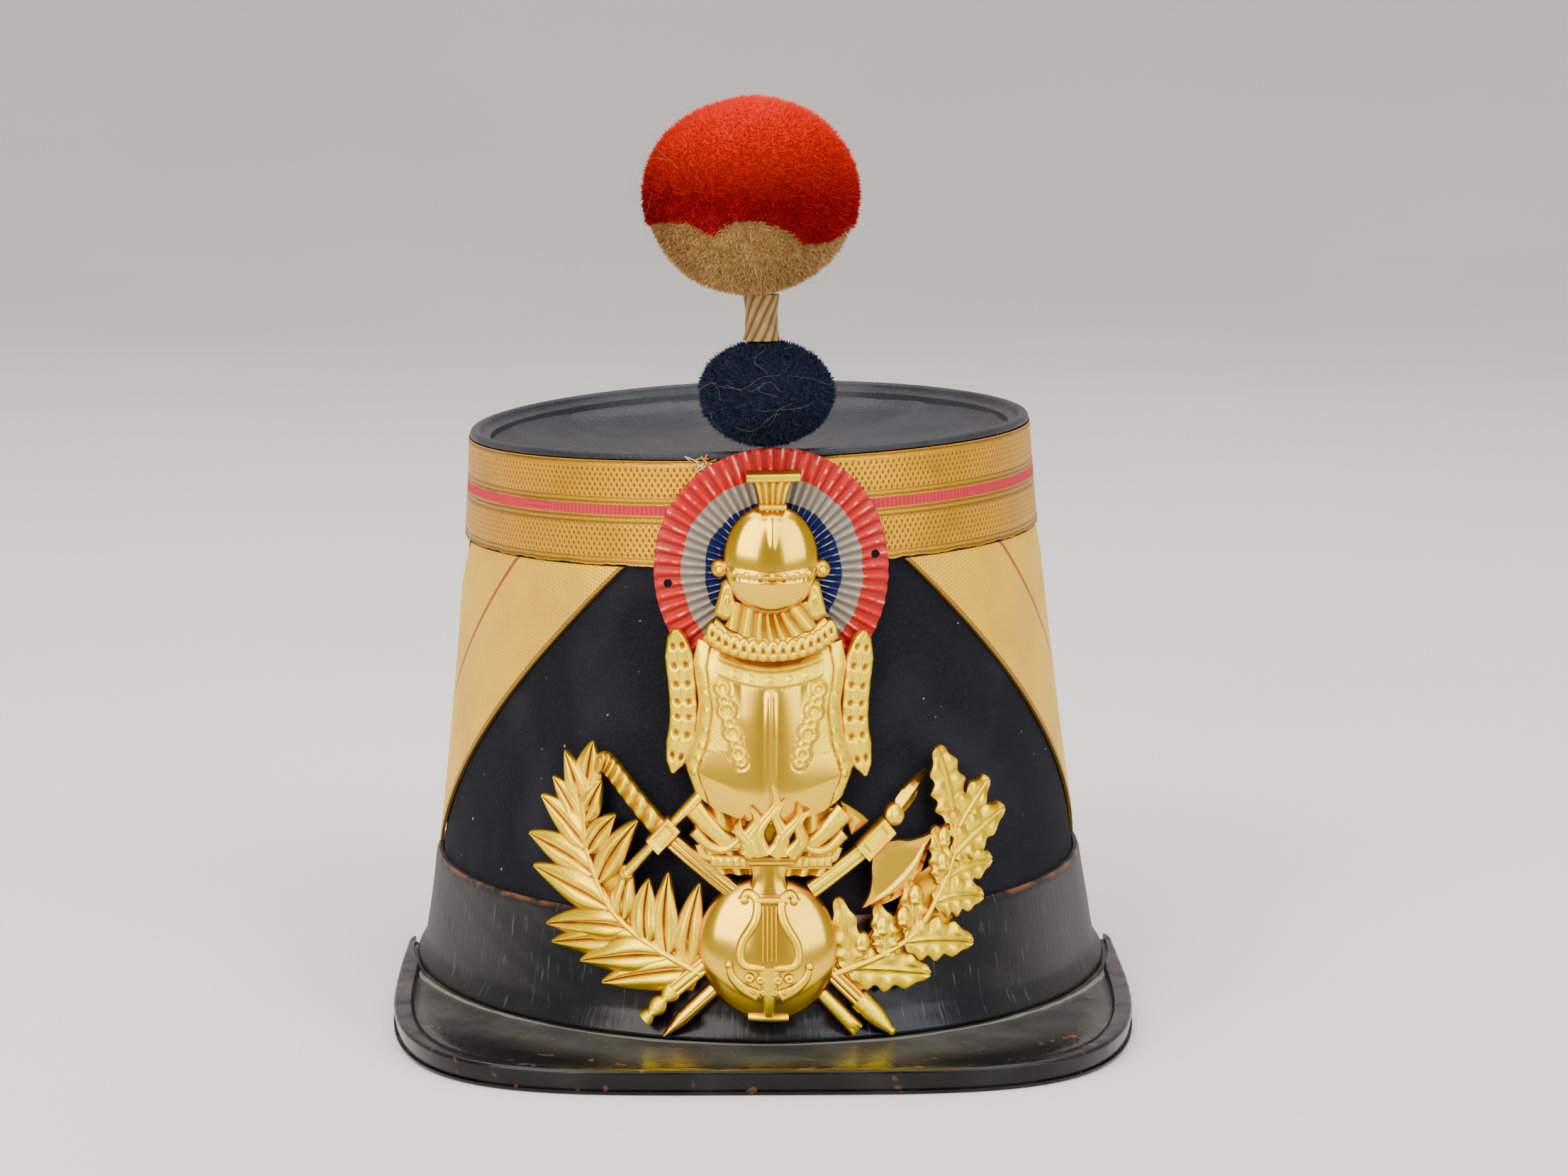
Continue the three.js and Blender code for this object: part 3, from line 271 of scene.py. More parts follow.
def node(tree, kind, values=None, **settings):
    """Adds a node and returns its outputs. Its inputs are constants or other nodes' outputs."""
    made = tree.nodes.new("ShaderNode" + kind)
    for key, value in settings.items():
        setattr(made, key, value)
    for key, value in (values or {}).items():
        if isinstance(value, bpy.types.NodeSocket):
            tree.links.new(value, made.inputs[key])
        else:
            made.inputs[key].default_value = value
    return made.outputs


def colour_over(tree, base, over, mask, amount=1.0):
    """Lets one colour show over another where a mask says so."""
    share = node(tree, "Math", {0: mask, 1: amount}, operation="MULTIPLY")[0]
    return node(tree, "Mix", {0: share, 6: base, 7: over}, data_type="RGBA")[2]


def patches(tree, millimetres, low, high, detail=3.0):
    """Cloudy patches of about a real size, cut between two noise levels."""
    place = node(tree, "TexCoord")["Object"]
    scale = 1 / (millimetres * MM)
    noise = node(tree, "TexNoise", {"Vector": place, "Scale": scale, "Detail": detail})["Fac"]
    return node(tree, "MapRange", {0: noise, 1: low, 2: high})[0]


def pattern(tree):
    """The piece's own coordinates in millimetres: along and across."""
    place = node(tree, "UVMap", uv_map="Pattern")[0]
    parts = node(tree, "SeparateXYZ", {0: place})
    return place, parts[0], parts[1]


def dress(tree, shader, base, rough=None, relief=None, depth=0.1):
    """Joins the colour, the gloss and a fine relief, in millimetres, to the shader."""
    tree.links.new(base, shader.inputs["Base Color"])
    if rough is not None:
        tree.links.new(rough, shader.inputs["Roughness"])
    if relief is not None:
        bump_node = node(tree, "Bump", {"Height": relief, "Distance": depth * MM, "Strength": 0.7})
        tree.links.new(bump_node[0], shader.inputs["Normal"])


def felted_cloth(colours):
    # Felted wool: near-black navy, matt, with a faint nap and a few pale specks of lint
    material, tree, shader = new_material("wool cloth, felted", 0.97, gloss=0.15)
    nap = patches(tree, 0.7, 0.35, 0.65)
    base = colour_over(tree, colours.cloth, srgb("#0B0B10"), nap, 0.8)
    base = colour_over(tree, base, srgb("#2E2F36"), patches(tree, 30, 0.5, 0.8), 0.5)
    base = colour_over(tree, base, srgb("#9A958A"), patches(tree, 1.5, 0.79, 0.80, 1.0))
    dress(tree, shader, base, relief=nap, depth=0.15)
    return material


def blacked_board():
    # Pasteboard brushed black, dull, showing brown where the black is thin
    material, tree, shader = new_material("pasteboard, blacked", 0.85)
    dress(tree, shader, colour_over(tree, srgb("#151517"), srgb("#2C2621"), patches(tree, 11, 0.4, 0.7)))
    return material


def crown_leather(colours):
    # Waxed leather gone grey in the dish, with a soft sheen and dull rubbed marks
    material, tree, shader = new_material("cowhide leather, waxed", 0.42, gloss=0.18)
    grain = patches(tree, 1.2, 0.35, 0.65)
    rubbed = patches(tree, 22, 0.45, 0.75)
    base = colour_over(tree, colours.leather, srgb("#191A1D"), grain, 0.5)
    base = colour_over(tree, base, srgb("#38383C"), rubbed, 0.7)
    dress(tree, shader, base, node(tree, "MapRange", {0: rubbed, 3: 0.34, 4: 0.6})[0], grain, 0.08)
    return material


def band_leather(colours):
    # Polished leather: glossy blue-black in front, greyed behind, scratched upright, edge worn brown
    material, tree, shader = new_material("cowhide leather, polished", 0.25, gloss=0.26)
    place, along, up = pattern(tree)
    away = node(tree, "Math", {0: along}, operation="ABSOLUTE")[0]
    sides = node(tree, "MapRange", {0: away, 1: 55.0, 2: 110.0})[0]
    stretched = node(tree, "Mapping", {"Vector": place, "Scale": (0.9, 0.10, 1.0)})[0]
    streaks = node(tree, "TexNoise", {"Vector": stretched, "Scale": 1.0, "Detail": 4.0})["Fac"]
    scratches = node(tree, "MapRange", {0: streaks, 1: 0.62, 2: 0.70})[0]
    base = colour_over(tree, srgb("#0E1014"), srgb("#1C1C1E"), sides, 0.75)
    base = colour_over(tree, base, srgb("#7C8088"), scratches, 0.22)
    base = colour_over(tree, base, srgb("#302F2F"), patches(tree, 26, 0.45, 0.75), 0.35)
    edge = node(tree, "MapRange", {0: up, 1: BAND_TOP - 1.4, 2: BAND_TOP - 0.4})[0]
    edge = node(tree, "Math", {0: edge, 1: patches(tree, 6, 0.42, 0.6)}, operation="MULTIPLY")[0]
    base = colour_over(tree, base, colours.worn_edge, edge)
    gloss = node(tree, "MapRange", {0: sides, 3: 0.16, 4: 0.42})[0]
    gloss = node(tree, "Math", {0: streaks, 1: 0.16, 2: gloss}, operation="MULTIPLY_ADD")[0]
    dress(tree, shader, base, gloss, streaks, 0.12)
    return material


WELT_AWAY = 4.2         # the pale welt's distance from the band, in millimetres


def visor_leather(colours):
    # Worn leather: grey-green, glossy black towards the front, a pale welt along the band
    material, tree, shader = new_material("harness leather, blacked", 0.4, gloss=0.4)
    out = pattern(tree)[2]
    grain = patches(tree, 1.3, 0.35, 0.65)
    base = colour_over(tree, srgb("#232420"), colours.visor, patches(tree, 16, 0.38, 0.66), 0.9)
    base = colour_over(tree, base, srgb("#0D0D0E"), node(tree, "MapRange", {0: out, 1: 16.0, 2: 29.0})[0])
    base = colour_over(tree, base, srgb("#5A3A22"), patches(tree, 3, 0.70, 0.74, 1.0))
    welt = node(tree, "Math", {0: out, 1: WELT_AWAY, 2: 0.8}, operation="COMPARE")[0]
    base = colour_over(tree, base, srgb("#7C796C"), welt, 0.6)
    rough = node(tree, "MapRange", {0: out, 1: 12.0, 2: 29.0, 3: 0.46, 4: 0.18})[0]
    dress(tree, shader, base, rough, grain, 0.06)
    return material


def edging_leather():
    # Leather strip folded over the visor's edge: black and glossy, rubbed brown in small spots
    material, tree, shader = new_material("calf leather strip, polished", 0.2, gloss=0.25)
    base = colour_over(tree, srgb("#08080A"), srgb("#242527"), patches(tree, 14, 0.45, 0.75), 0.6)
    base = colour_over(tree, base, srgb("#5E4028"), patches(tree, 4, 0.66, 0.72, 1.0), 0.8)
    rubbed = patches(tree, 9, 0.4, 0.7)
    dress(tree, shader, base, node(tree, "MapRange", {0: rubbed, 3: 0.14, 4: 0.36})[0])
    return material


def staggered(tree, along, across, pitch, rows):
    """A grid of soft dots, every other row moved half a pitch, 1 in the dots."""
    waves = []
    for place, step in ((along, pitch / 2), (across, rows)):
        turn = node(tree, "Math", {0: place, 1: math.pi / step}, operation="MULTIPLY")[0]
        waves.append(node(tree, "Math", {0: turn}, operation="COSINE")[0])
    grid = node(tree, "Math", {0: waves[0], 1: waves[1]}, operation="MULTIPLY")[0]
    return node(tree, "MapRange", {0: grid, 1: 0.15, 2: 0.75})[0]


def cell_lace(colours):
    # Gilt thread woven over a net: rows of sunk cells between bright crossings, the cells darkened with
    # painted shade
    material, tree, shader = new_material("gilt thread lace, cell woven", 0.42, 0.8)
    along, across = pattern(tree)[1:]
    cells = staggered(tree, along, across, 1.6, 1.2)
    # painted shade: the sunk cells are darkened
    base = colour_over(tree, colours.lace, srgb("#7A4E08"), cells, 0.9)
    base = colour_over(tree, base, srgb("#8E6418"), patches(tree, 14, 0.45, 0.75), 0.4)
    crossing = node(tree, "Math", {0: 1.0, 1: cells}, operation="SUBTRACT")[0]
    dress(tree, shader, base, relief=crossing, depth=0.4)
    return material


def corded_lace(colours):
    # Gilt cords along the borders, bright on their backs, with painted shade in brown between them
    material, tree, shader = new_material("gilt thread lace, corded", 0.4, 0.8)
    threads = patches(tree, 0.5, 0.35, 0.65, 1.0)
    back = node(tree, "Attribute", attribute_name="crest")["Fac"]
    # painted shade: brown in the grooves between the cords, lace colour on their backs
    base = colour_over(tree, srgb("#7A5410"), colours.lace, back)
    dress(tree, shader, colour_over(tree, base, srgb("#8E6418"), threads, 0.3), relief=threads, depth=0.1)
    return material


def chevron_lace(colours):
    # Paler gilt thread with fine sunk dots darkened with painted shade, a thin dark red line up its
    # middle, and a painted shadow in brown along its lower edge
    material, tree, shader = new_material("gilt thread lace, dot woven", 0.5, 0.7)
    along, across = pattern(tree)[1:]
    dots = staggered(tree, along, across, 1.1, 0.9)
    # painted shade: the sunk dots are darkened
    base = colour_over(tree, colours.chevron, srgb("#B07A22"), dots, 0.7)
    base = colour_over(tree, base, srgb("#B98A3A"), patches(tree, 18, 0.45, 0.75), 0.4)
    line = node(tree, "Math", {0: across, 1: CHEVRON_WIDTH / 2 + 0.5, 2: 0.55}, operation="COMPARE")[0]
    base = colour_over(tree, base, srgb("#9E2C22"), line, 0.85)
    # painted shadow: a brown strip along the lace's lower edge
    edge = node(tree, "Math", {0: across, 1: 1.0}, operation="LESS_THAN")[0]
    base = colour_over(tree, base, srgb("#7A5420"), edge, 0.8)
    sunk = node(tree, "Math", {0: 1.0, 1: dots}, operation="SUBTRACT")[0]
    dress(tree, shader, base, relief=sunk, depth=0.25)
    return material


def dyed_thread(name, light, deep):
    # Dyed thread, matt, in fine ribs, with painted shade in the hollows between them
    material, tree, shader = new_material(name, 0.85)
    turn = node(tree, "Math", {0: pattern(tree)[1], 1: 5.2}, operation="MULTIPLY")[0]
    ribs = node(tree, "Math", {0: turn}, operation="SINE")[0]
    # painted shade: the deep colour fills the hollows between the ribs
    hollow = node(tree, "MapRange", {0: ribs, 1: -0.4, 2: 0.8})[0]
    dress(tree, shader, colour_over(tree, srgb(light), srgb(deep), hollow, 0.6))
    return material


COCKADE_RADIUS = 29.0
RING_ENDS = (0.565, 0.76)       # share of the radius where the blue and the grey end
PIERCED = 60.0          # a distance out that only the two sewing holes are marked with


def painted_tin(colours):
    # Three rings of gloss paint on pleated tin, rubbed to pale metal on the ridges, with painted shade in
    # the grooves and the two sewing holes painted black as shade
    material, tree, shader = new_material("tinned sheet, painted", 0.36, gloss=0.3)
    place, out = pattern(tree)[:2]
    uneven = node(tree, "TexNoise", {"Vector": place, "Scale": 0.4})["Fac"]
    edge = node(tree, "Math", {0: uneven, 1: 1.4, 2: out}, operation="MULTIPLY_ADD")[0]
    base = colours.cockade_blue
    for share, ring in zip(RING_ENDS, (colours.cockade_grey, colours.cockade_red)):
        past = COCKADE_RADIUS * share + 0.7
        beyond = node(tree, "Math", {0: edge, 1: past}, operation="GREATER_THAN")[0]
        base = colour_over(tree, base, ring, beyond)
    high = node(tree, "Attribute", attribute_name="crest")["Fac"]
    # painted shade: the grooves between the pleats are darkened
    groove = node(tree, "MapRange", {0: high, 1: 0.45, 2: 0.0})[0]
    base = colour_over(tree, base, srgb("#2A1712"), groove, 0.55)
    ridge = node(tree, "MapRange", {0: high, 1: 0.86, 2: 1.0})[0]
    bare = node(tree, "Math", {0: ridge, 1: patches(tree, 2.4, 0.5, 0.6)}, operation="MULTIPLY")[0]
    base = colour_over(tree, base, srgb("#C9C0B0"), bare, 0.7)
    # painted shade: the two sewing holes are painted near black
    hole = node(tree, "Math", {0: out, 1: COCKADE_RADIUS + 6}, operation="GREATER_THAN")[0]
    gloss = node(tree, "Math", {0: hole, 1: 0.6, 2: 0.36}, operation="MULTIPLY_ADD")[0]
    dress(tree, shader, colour_over(tree, base, srgb("#020202"), hole), gloss)
    return material


def stamped_brass(colours):
    # Stamped brass under lacquer: satin yellow, bright where burnished, brown-orange where it is stained,
    # and the same brown-orange laid in the hollows as painted shade
    material, tree, shader = new_material("brass sheet, stamped and burnished", 0.3, 1.0)
    shader.inputs["Specular Tint"].default_value = srgb("#FFE060")
    shine = pattern(tree)[1]
    hollow = node(tree, "Attribute", attribute_name="crest")["Fac"]
    stained = patches(tree, 9, 0.55, 0.8)
    # painted shade in the hollows from the crest attribute, added to the real stains
    amount = node(tree, "Math", {0: stained, 1: 0.35, 2: hollow}, operation="MULTIPLY_ADD",
                  use_clamp=True)[0]
    base = colour_over(tree, colours.brass, srgb("#9A5400"), amount, 1.0)
    base = colour_over(tree, base, srgb("#E8B038"), shine, 0.6)
    satin = node(tree, "MapRange", {0: shine, 3: 0.36, 4: 0.17})[0]
    grain = patches(tree, 0.6, 0.3, 0.7)
    rough = node(tree, "Math", {0: hollow, 1: 0.14, 2: satin}, operation="MULTIPLY_ADD")[0]
    matt = node(tree, "MapRange", {0: shine, 3: 1, 4: 0})[0]
    grain = node(tree, "Math", {0: grain, 1: matt}, operation="MULTIPLY")[0]
    dress(tree, shader, base, rough, grain, 0.05)
    return material


def dyed_wool(name, light, deep, warm=None):
    # Cut wool pile: velvety, lighter at the fibre tips, warmer towards the top, where the dye has partly
    # faded and painted light stands in for the light falling on it
    material, tree, shader = new_material(name, 0.95, gloss=0.1)
    tips = node(tree, "Attribute", attribute_name="crest")["Fac"]
    base = colour_over(tree, srgb(deep), srgb(light), tips)
    base = colour_over(tree, base, srgb(deep), patches(tree, 4, 0.35, 0.7), 0.35)
    # painted light: a warmer, brighter top, partly faded dye
    if warm is not None:
        height = node(tree, "SeparateXYZ", {0: node(tree, "TexCoord")["Object"]})[2]
        faded_and_lit_top = node(tree, "MapRange", {0: height, 1: 0.203, 2: 0.226})[0]
        base = colour_over(tree, base, srgb(warm), faded_and_lit_top, 0.7)
    dress(tree, shader, base)
    return material


def drawn_steel():
    # Drawn steel wire with dull brown rust spots
    material, tree, shader = new_material("steel wire, drawn", 0.4, 1.0)
    dress(tree, shader, colour_over(tree, srgb("#8A8A8A"), srgb("#4A3A2E"), patches(tree, 3, 0.4, 0.7), 0.7))
    return material


# Pieces. Each builder takes the wall and the colours and returns its pieces.

# In millimetres: clearance between neighbours, thicknesses, then widths and heights
CLEAR = 0.3
LACE = 1.0
LEATHER = 1.4
LACE_WIDTH = 25.2
CHEVRON_WIDTH = 50.0
BAND_TOP = 32.6
VISOR_TOP = 4.4
VISOR_FOOT = 1.4
VISOR_STATIONS = 241
LACE_OUT = CLEAR + LACE
LEATHER_OUT = CLEAR + LEATHER


def around(wall, count, height):
    """Angles round the wall from the back, and the length along the wall at each, with the last one."""
    turns = np.linspace(-math.pi, math.pi, count + 1)
    lengths = np.sign(turns) * np.interp(np.abs(turns), wall.turns, wall.arcs) * wall.half(height)
    return turns[:-1] + FRONT, lengths


def band(piece, wall, angles, lengths, outs, heights, ups, crest=0.0, finish=0):
    """A closed ring of cloth, leather or lace from a section that may change round the hat."""
    shape = (len(angles), np.shape(heights)[-1])
    outs, heights = np.broadcast_to(outs, shape), np.broadcast_to(heights, shape)
    loops = wall.point(angles[:, None], heights, outs)
    marks = np.stack(np.broadcast_arrays(lengths[:, None], np.asarray(ups)[None, :]), axis=-1)
    piece.loft(loops, ring=True, marks=marks, crest=crest, finish=finish)


def build_body(wall, colours):
    """The cloth wall, with the bare board of its hollow."""
    piece = Piece()
    angles, lengths = around(wall, 300, 70)
    outside = np.linspace(0, wall.height, 30)
    inside = np.linspace(wall.height, 0, 14)
    heights = np.concatenate([outside, inside])
    outs = np.concatenate([np.zeros(30), np.full(14, -2.4)])
    uneven = 0.1 * ripple(angles[:, None] * 9 + heights[None, :] * 0.15, 3)
    outs = outs[None, :] + np.where(outs < -1, 0, uneven)
    finish = np.array([0] * 29 + [1] * 15)
    band(piece, wall, angles, lengths, outs, heights, heights, finish=finish)
    thing = piece.make("hat_body", [felted_cloth(colours), blacked_board()])
    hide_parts("body_shell")
    return [thing]


def curve(points, count):
    """A smooth path through points, in equal steps of its parameter."""
    points = np.asarray(points, float)
    full = np.concatenate([[2 * points[0] - points[1]], points, [2 * points[-1] - points[-2]]])
    t = np.linspace(0, len(points) - 1, count)
    i = np.minimum(t.astype(int), len(points) - 2)
    f = (t - i)[:, None]
    a, b, c, d = (full[i + k] for k in range(4))
    square, cube = 2 * a - 5 * b + 4 * c - d, 3 * b - a - 3 * c + d
    return 0.5 * (2 * b + (c - a) * f + square * f ** 2 + cube * f ** 3)


def build_crown(wall, colours):
    """The sunken leather top, its slack folds and its rolled edge."""
    piece = Piece()
    rim = wall.half(wall.height)
    roll = [(1 + (-0.45 + 1.35 * math.cos(t)) / rim, 0.7 + 1.3 * math.sin(t))
            for t in np.linspace(3.0, 0, 13)]
    dish = curve([(0.004, -8), (0.35, -7.7), (0.70, -6.7), (0.86, -4.6), (0.93, -2.0),
                  (0.966, 0.2)], 40)
    under = curve([(0.94, -0.3), (0.925, -4.0), (0.86, -6.6), (0.70, -8.5), (0.35, -9.5),
                   (0.004, -9.8)], 16)
    profile = np.concatenate([dish, roll, [(1 + 0.9 / rim, 0.3), (0.966, 0.3)], under])
    turns = np.linspace(0, 2 * math.pi, 240, endpoint=False)
    edge = wall.point(turns, wall.height, 0.0)
    middle = np.array([-2.7, 3.9, wall.height])
    out, down = profile[:, :1, None], profile[:, 1:]
    loops = middle + out * (edge[None] - middle)
    folds = 0.35 * smooth(profile[:, :1], 0.5, 0.9) * (1 - smooth(profile[:, :1], 0.93, 0.97))
    top = np.arange(len(profile))[:, None] < 40
    loops[..., 2] += down + np.where(top, folds * ripple(turns[None, :] * 6, 8, 9), 0)
    piece.loft(loops, marks=np.stack(np.broadcast_arrays(out[..., 0] * rim, turns[None] * 60), axis=-1))
    thing = piece.make("hat_crown", [crown_leather(colours)])
    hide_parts("crown_top")
    return [thing]


LACE_ZONES = [          # from the lower edge: end of the zone, how it is woven
    (2.0, "edge"), (9.6, "cells"), (11.8, "edge"), (14.1, "stripe"), (16.2, "edge"), (23.4, "cells"),
    (LACE_WIDTH, "edge"),
]


def build_lace(wall, colours):
    """The lace round the top: two bands of cells, cords and a red stripe."""
    piece = Piece()
    angles, lengths = around(wall, 480, 127)
    ups = np.linspace(0, LACE_WIDTH, 43)
    ends = [end for end, _ in LACE_ZONES]
    kinds = [{"edge": 0, "cells": 1, "stripe": 2}[kind] for _, kind in LACE_ZONES]
    zone = np.array([kinds[min(np.searchsorted(ends, up), 6)] for up in (ups[1:] + ups[:-1]) / 2])
    cord = np.abs(np.cos(ups * math.pi / 1.2))
    edge = np.array([kinds[min(np.searchsorted(ends, up), 6)] != 1 for up in ups])
    crest = np.where(edge, cord, 0.7)
    low = wall.height - LACE_WIDTH
    outs = CLEAR + LACE * (0.72 + 0.28 * crest)
    outs = outs[None, :] + 0.08 * ripple(angles[:, None] * 14 + ups[None, :] * 0.1, 5)
    frayed = 0.25 * ripple(angles * 40, 11, 9)[:, None] * (1 - smooth(ups, 0, 2))[None, :]
    back = low + np.broadcast_to([LACE_WIDTH - 0.4, LACE_WIDTH / 2, 0.6], (len(angles), 3))
    heights = np.concatenate([low + ups[None, :] + frayed + 0.12, back], axis=1)
    outs = np.concatenate([np.minimum(outs, LACE_OUT), np.full((len(angles), 3), CLEAR)], axis=1)
    band(piece, wall, angles, lengths, outs, np.minimum(heights, wall.height),
         np.append(ups, [25, LACE_WIDTH / 2, 0]), crest=np.append(crest, [0, 0, 0])[None, :],
         finish=np.append(zone, [0, 0, 0, 0]))
    materials = [
        corded_lace(colours),
        cell_lace(colours),
        dyed_thread("worsted thread, dyed red", "#C4182E", "#84121E"),
    ]
    thing = piece.make("hat_top_lace", materials)
    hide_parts("top_lace")
    return [thing, torn_threads(wall)]


def tube(piece, path, radius, sides=6, crest=0.0, finish=0):
    """A round thread along a path of points; its radius may change along it."""
    path = np.asarray(path, float)
    ahead = np.gradient(path, axis=0)
    ahead /= np.linalg.norm(ahead, axis=1, keepdims=True)
    helper = np.array([0.0, 0.0, 1.0]) if abs(ahead[:, 2]).mean() < 0.7 else np.array([1.0, 0.0, 0.0])
    side = np.cross(ahead, helper)
    side /= np.linalg.norm(side, axis=1, keepdims=True)
    other = np.cross(side, ahead)
    turns = np.linspace(0, 2 * math.pi, sides, endpoint=False)
    radius = np.broadcast_to(radius, len(path))[:, None, None]
    loops = path[:, None] + radius * (side[:, None] * np.cos(turns)[None, :, None]
                                      + other[:, None] * np.sin(turns)[None, :, None])
    piece.loft(loops, crest=crest, finish=finish)


def torn_threads(wall):
    """Frayed ends where the lace has torn beside the cockade."""
    piece = Piece()
    rng = np.random.default_rng(21)
    for k in range(22):
        along = rng.uniform(-19, -12.5)
        z = wall.height - rng.uniform(-0.6, 2.4)
        steps = np.linspace(0, 1, 7)
        reach = rng.uniform(1.2, 3.6)
        way = rng.uniform(-1, 1)
        spots = wall.along(along + way * reach * steps, z - rng.uniform(-0.4, 1.0) * reach * steps,
                           LACE_OUT + 0.1 + 0.5 * np.sin(math.pi * steps))
        tube(piece, spots, rng.uniform(0.1, 0.2), finish=int(k % 3 == 0))
    thing = piece.make("lace_threads", [dyed_thread("silk thread, orange, torn", "#E8902E", "#9A5A1A"),
                                        dyed_thread("linen thread, torn", "#D8D2C2", "#8E8878")])
    return thing


def build_chevron(wall, colours, side, name):
    """A V of lace on one side, its ends under the lace of the top."""
    piece = Piece()
    foot, head, reach = 32.9, 114.7, 100.0
    slope = (head - foot) / reach
    arm = math.hypot(1, slope)
    cross = foot + CHEVRON_WIDTH * arm
    steps = np.linspace(-reach, reach, 181)
    low = np.minimum(foot + slope * np.abs(steps), head - 0.2)
    high = np.maximum(low + 0.2, np.minimum(head, cross + slope * np.abs(steps)))
    share = np.concatenate([np.linspace(0, 1, 36), np.linspace(1, 0, 10)])
    outs = np.concatenate([np.full(36, LACE_OUT), np.full(10, CLEAR)])
    outs[[0, 35]] -= 0.25
    heights = low[:, None] + (high - low)[:, None] * share[None, :]
    along = side * (wall.arcs[360] * wall.half(heights)
                    + steps[:, None] * (wall.half(heights) + LACE_OUT) / wall.half(foot))
    loops = wall.point(wall.angle(along, heights, 0), heights, outs[None, :])
    across = (heights - foot - slope * np.abs(steps)[:, None]) / arm
    length = (np.abs(steps)[:, None] + (heights - foot) * slope) / arm
    piece.loft(loops, marks=np.stack([length, across], axis=-1))
    thing = piece.make(name, [chevron_lace(colours)])
    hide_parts(name.replace("lace_chevron", "side_chevron"))
    return [thing]


def band_foot(angle):
    """Height of the leather band's lower edge: over the visor in front, near the floor behind."""
    return CLEAR + smooth(-np.sin(angle), -0.42, -0.14) * 4.4


def build_band(wall, colours):
    """The leather band round the foot, flared out at its lower edge."""
    piece = Piece()
    angles, lengths = around(wall, 400, 16)
    foot = band_foot(angles)[:, None]
    share = np.linspace(0, 1, 34)[None, :] ** 1.25
    top = BAND_TOP + 0.12 * ripple(angles * 30, 17, 9)[:, None]
    outside = foot + (top - foot) * share
    flare = 1.6 * (1 - smooth(outside - foot, 0.4, 5.5))
    edge = -0.35 * (share > 0.999) - 0.3 * (share < 0.001)
    outs = LEATHER_OUT + flare + edge + 0.07 * ripple(angles[:, None] * 11 + outside * 0.3, 9)
    inside = foot + (BAND_TOP - foot) * np.linspace(1, 0, 6)[None, :]
    heights = np.concatenate([outside, inside], axis=1)
    outs = np.concatenate([outs, np.full((len(angles), 6), CLEAR)], axis=1)
    ups = np.concatenate([BAND_TOP * share[0], np.linspace(30, 0, 6)])
    band(piece, wall, angles, lengths, outs, heights, ups)
    thing = piece.make("hat_leather_band", [band_leather(colours)])
    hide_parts("leather_band")
    return [thing]


def visor_edge(wall, turn, inset):
    """A point of the visor's outline moved in by an inset, turn 0 to 1 from end to end."""
    half_width, reach = wall.wide + 5.4, wall.wide * wall.ratio + 34.3
    power, past = 2 / 4.15, math.radians(9)

    def outline(t):
        """The outline before it is moved in and turned."""
        angle = -math.pi - past + (math.pi + 2 * past) * t
        c, s = np.cos(angle), np.sin(angle)
        forward = np.where(s > 0, np.abs(s) * 0.3, np.abs(s) ** power)
        sideways = np.sign(c) * half_width * np.abs(c) ** power
        return np.stack([sideways, np.sign(s) * reach * forward], axis=-1)

    here = outline(turn)
    ahead = outline(np.minimum(turn + 0.002, 1)) - outline(np.maximum(turn - 0.002, 0))
    ahead /= np.linalg.norm(ahead, axis=-1, keepdims=True)
    inset = np.asarray(inset, float)[..., None]
    moved = here + inset * np.stack([-ahead[..., 1], ahead[..., 0]], axis=-1)
    yaw = math.radians(-1.9)
    turned = np.array([[math.cos(yaw), math.sin(yaw)], [-math.sin(yaw), math.cos(yaw)]])
    return moved @ turned


def visor_turns(count):
    """Places along the visor's outline, closer together at its corners."""
    t = np.linspace(0, 1, count)
    return t - 0.035 * np.sin(4 * math.pi * t)


def build_visor(wall, colours):
    """The leather sheet of the visor, with the welt along the band."""
    piece = Piece()
    turns = visor_turns(VISOR_STATIONS)
    outer = visor_edge(wall, turns, np.full(VISOR_STATIONS, 1.4))
    last = min(outer[0, 1], outer[-1, 1]) - 3
    angle = np.arctan2(np.minimum(outer[:, 1], last) / wall.ratio, outer[:, 0])
    inner = wall.point(angle, 0.0, CLEAR)[:, :2]
    share = np.linspace(0, 1, 30)
    away = np.linalg.norm(outer - inner, axis=1)[:, None] * share[None, :]
    line = inner[:, None] + (outer - inner)[:, None] * share[None, :, None]
    welt = 0.45 * bump(away, WELT_AWAY, 1.1) * (away[:, -1:] > 7)
    high = VISOR_TOP + welt - 0.25 * bump(away, away[:, -1:] - 5.6, 1.2)
    high = high + 0.06 * ripple(line[..., 0] * 0.12 + line[..., 1] * 0.2, 31)
    under = line[:, ::-7]
    top = np.concatenate([line, high[..., None]], axis=-1)
    low = np.concatenate([under, np.full((*under.shape[:2], 1), VISOR_FOOT)], axis=-1)
    loops = np.concatenate([top, low], axis=1)
    along = np.cumsum(np.append(0, np.linalg.norm(np.diff(outer, axis=0), axis=1)))
    aways = np.concatenate([away, away[:, ::-7]], axis=1)
    marks = np.stack(np.broadcast_arrays(along[:, None], aways), axis=-1)
    piece.loft(loops, marks=marks)
    thing = piece.make("hat_visor", [visor_leather(colours)])
    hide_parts("visor")
    return [thing]


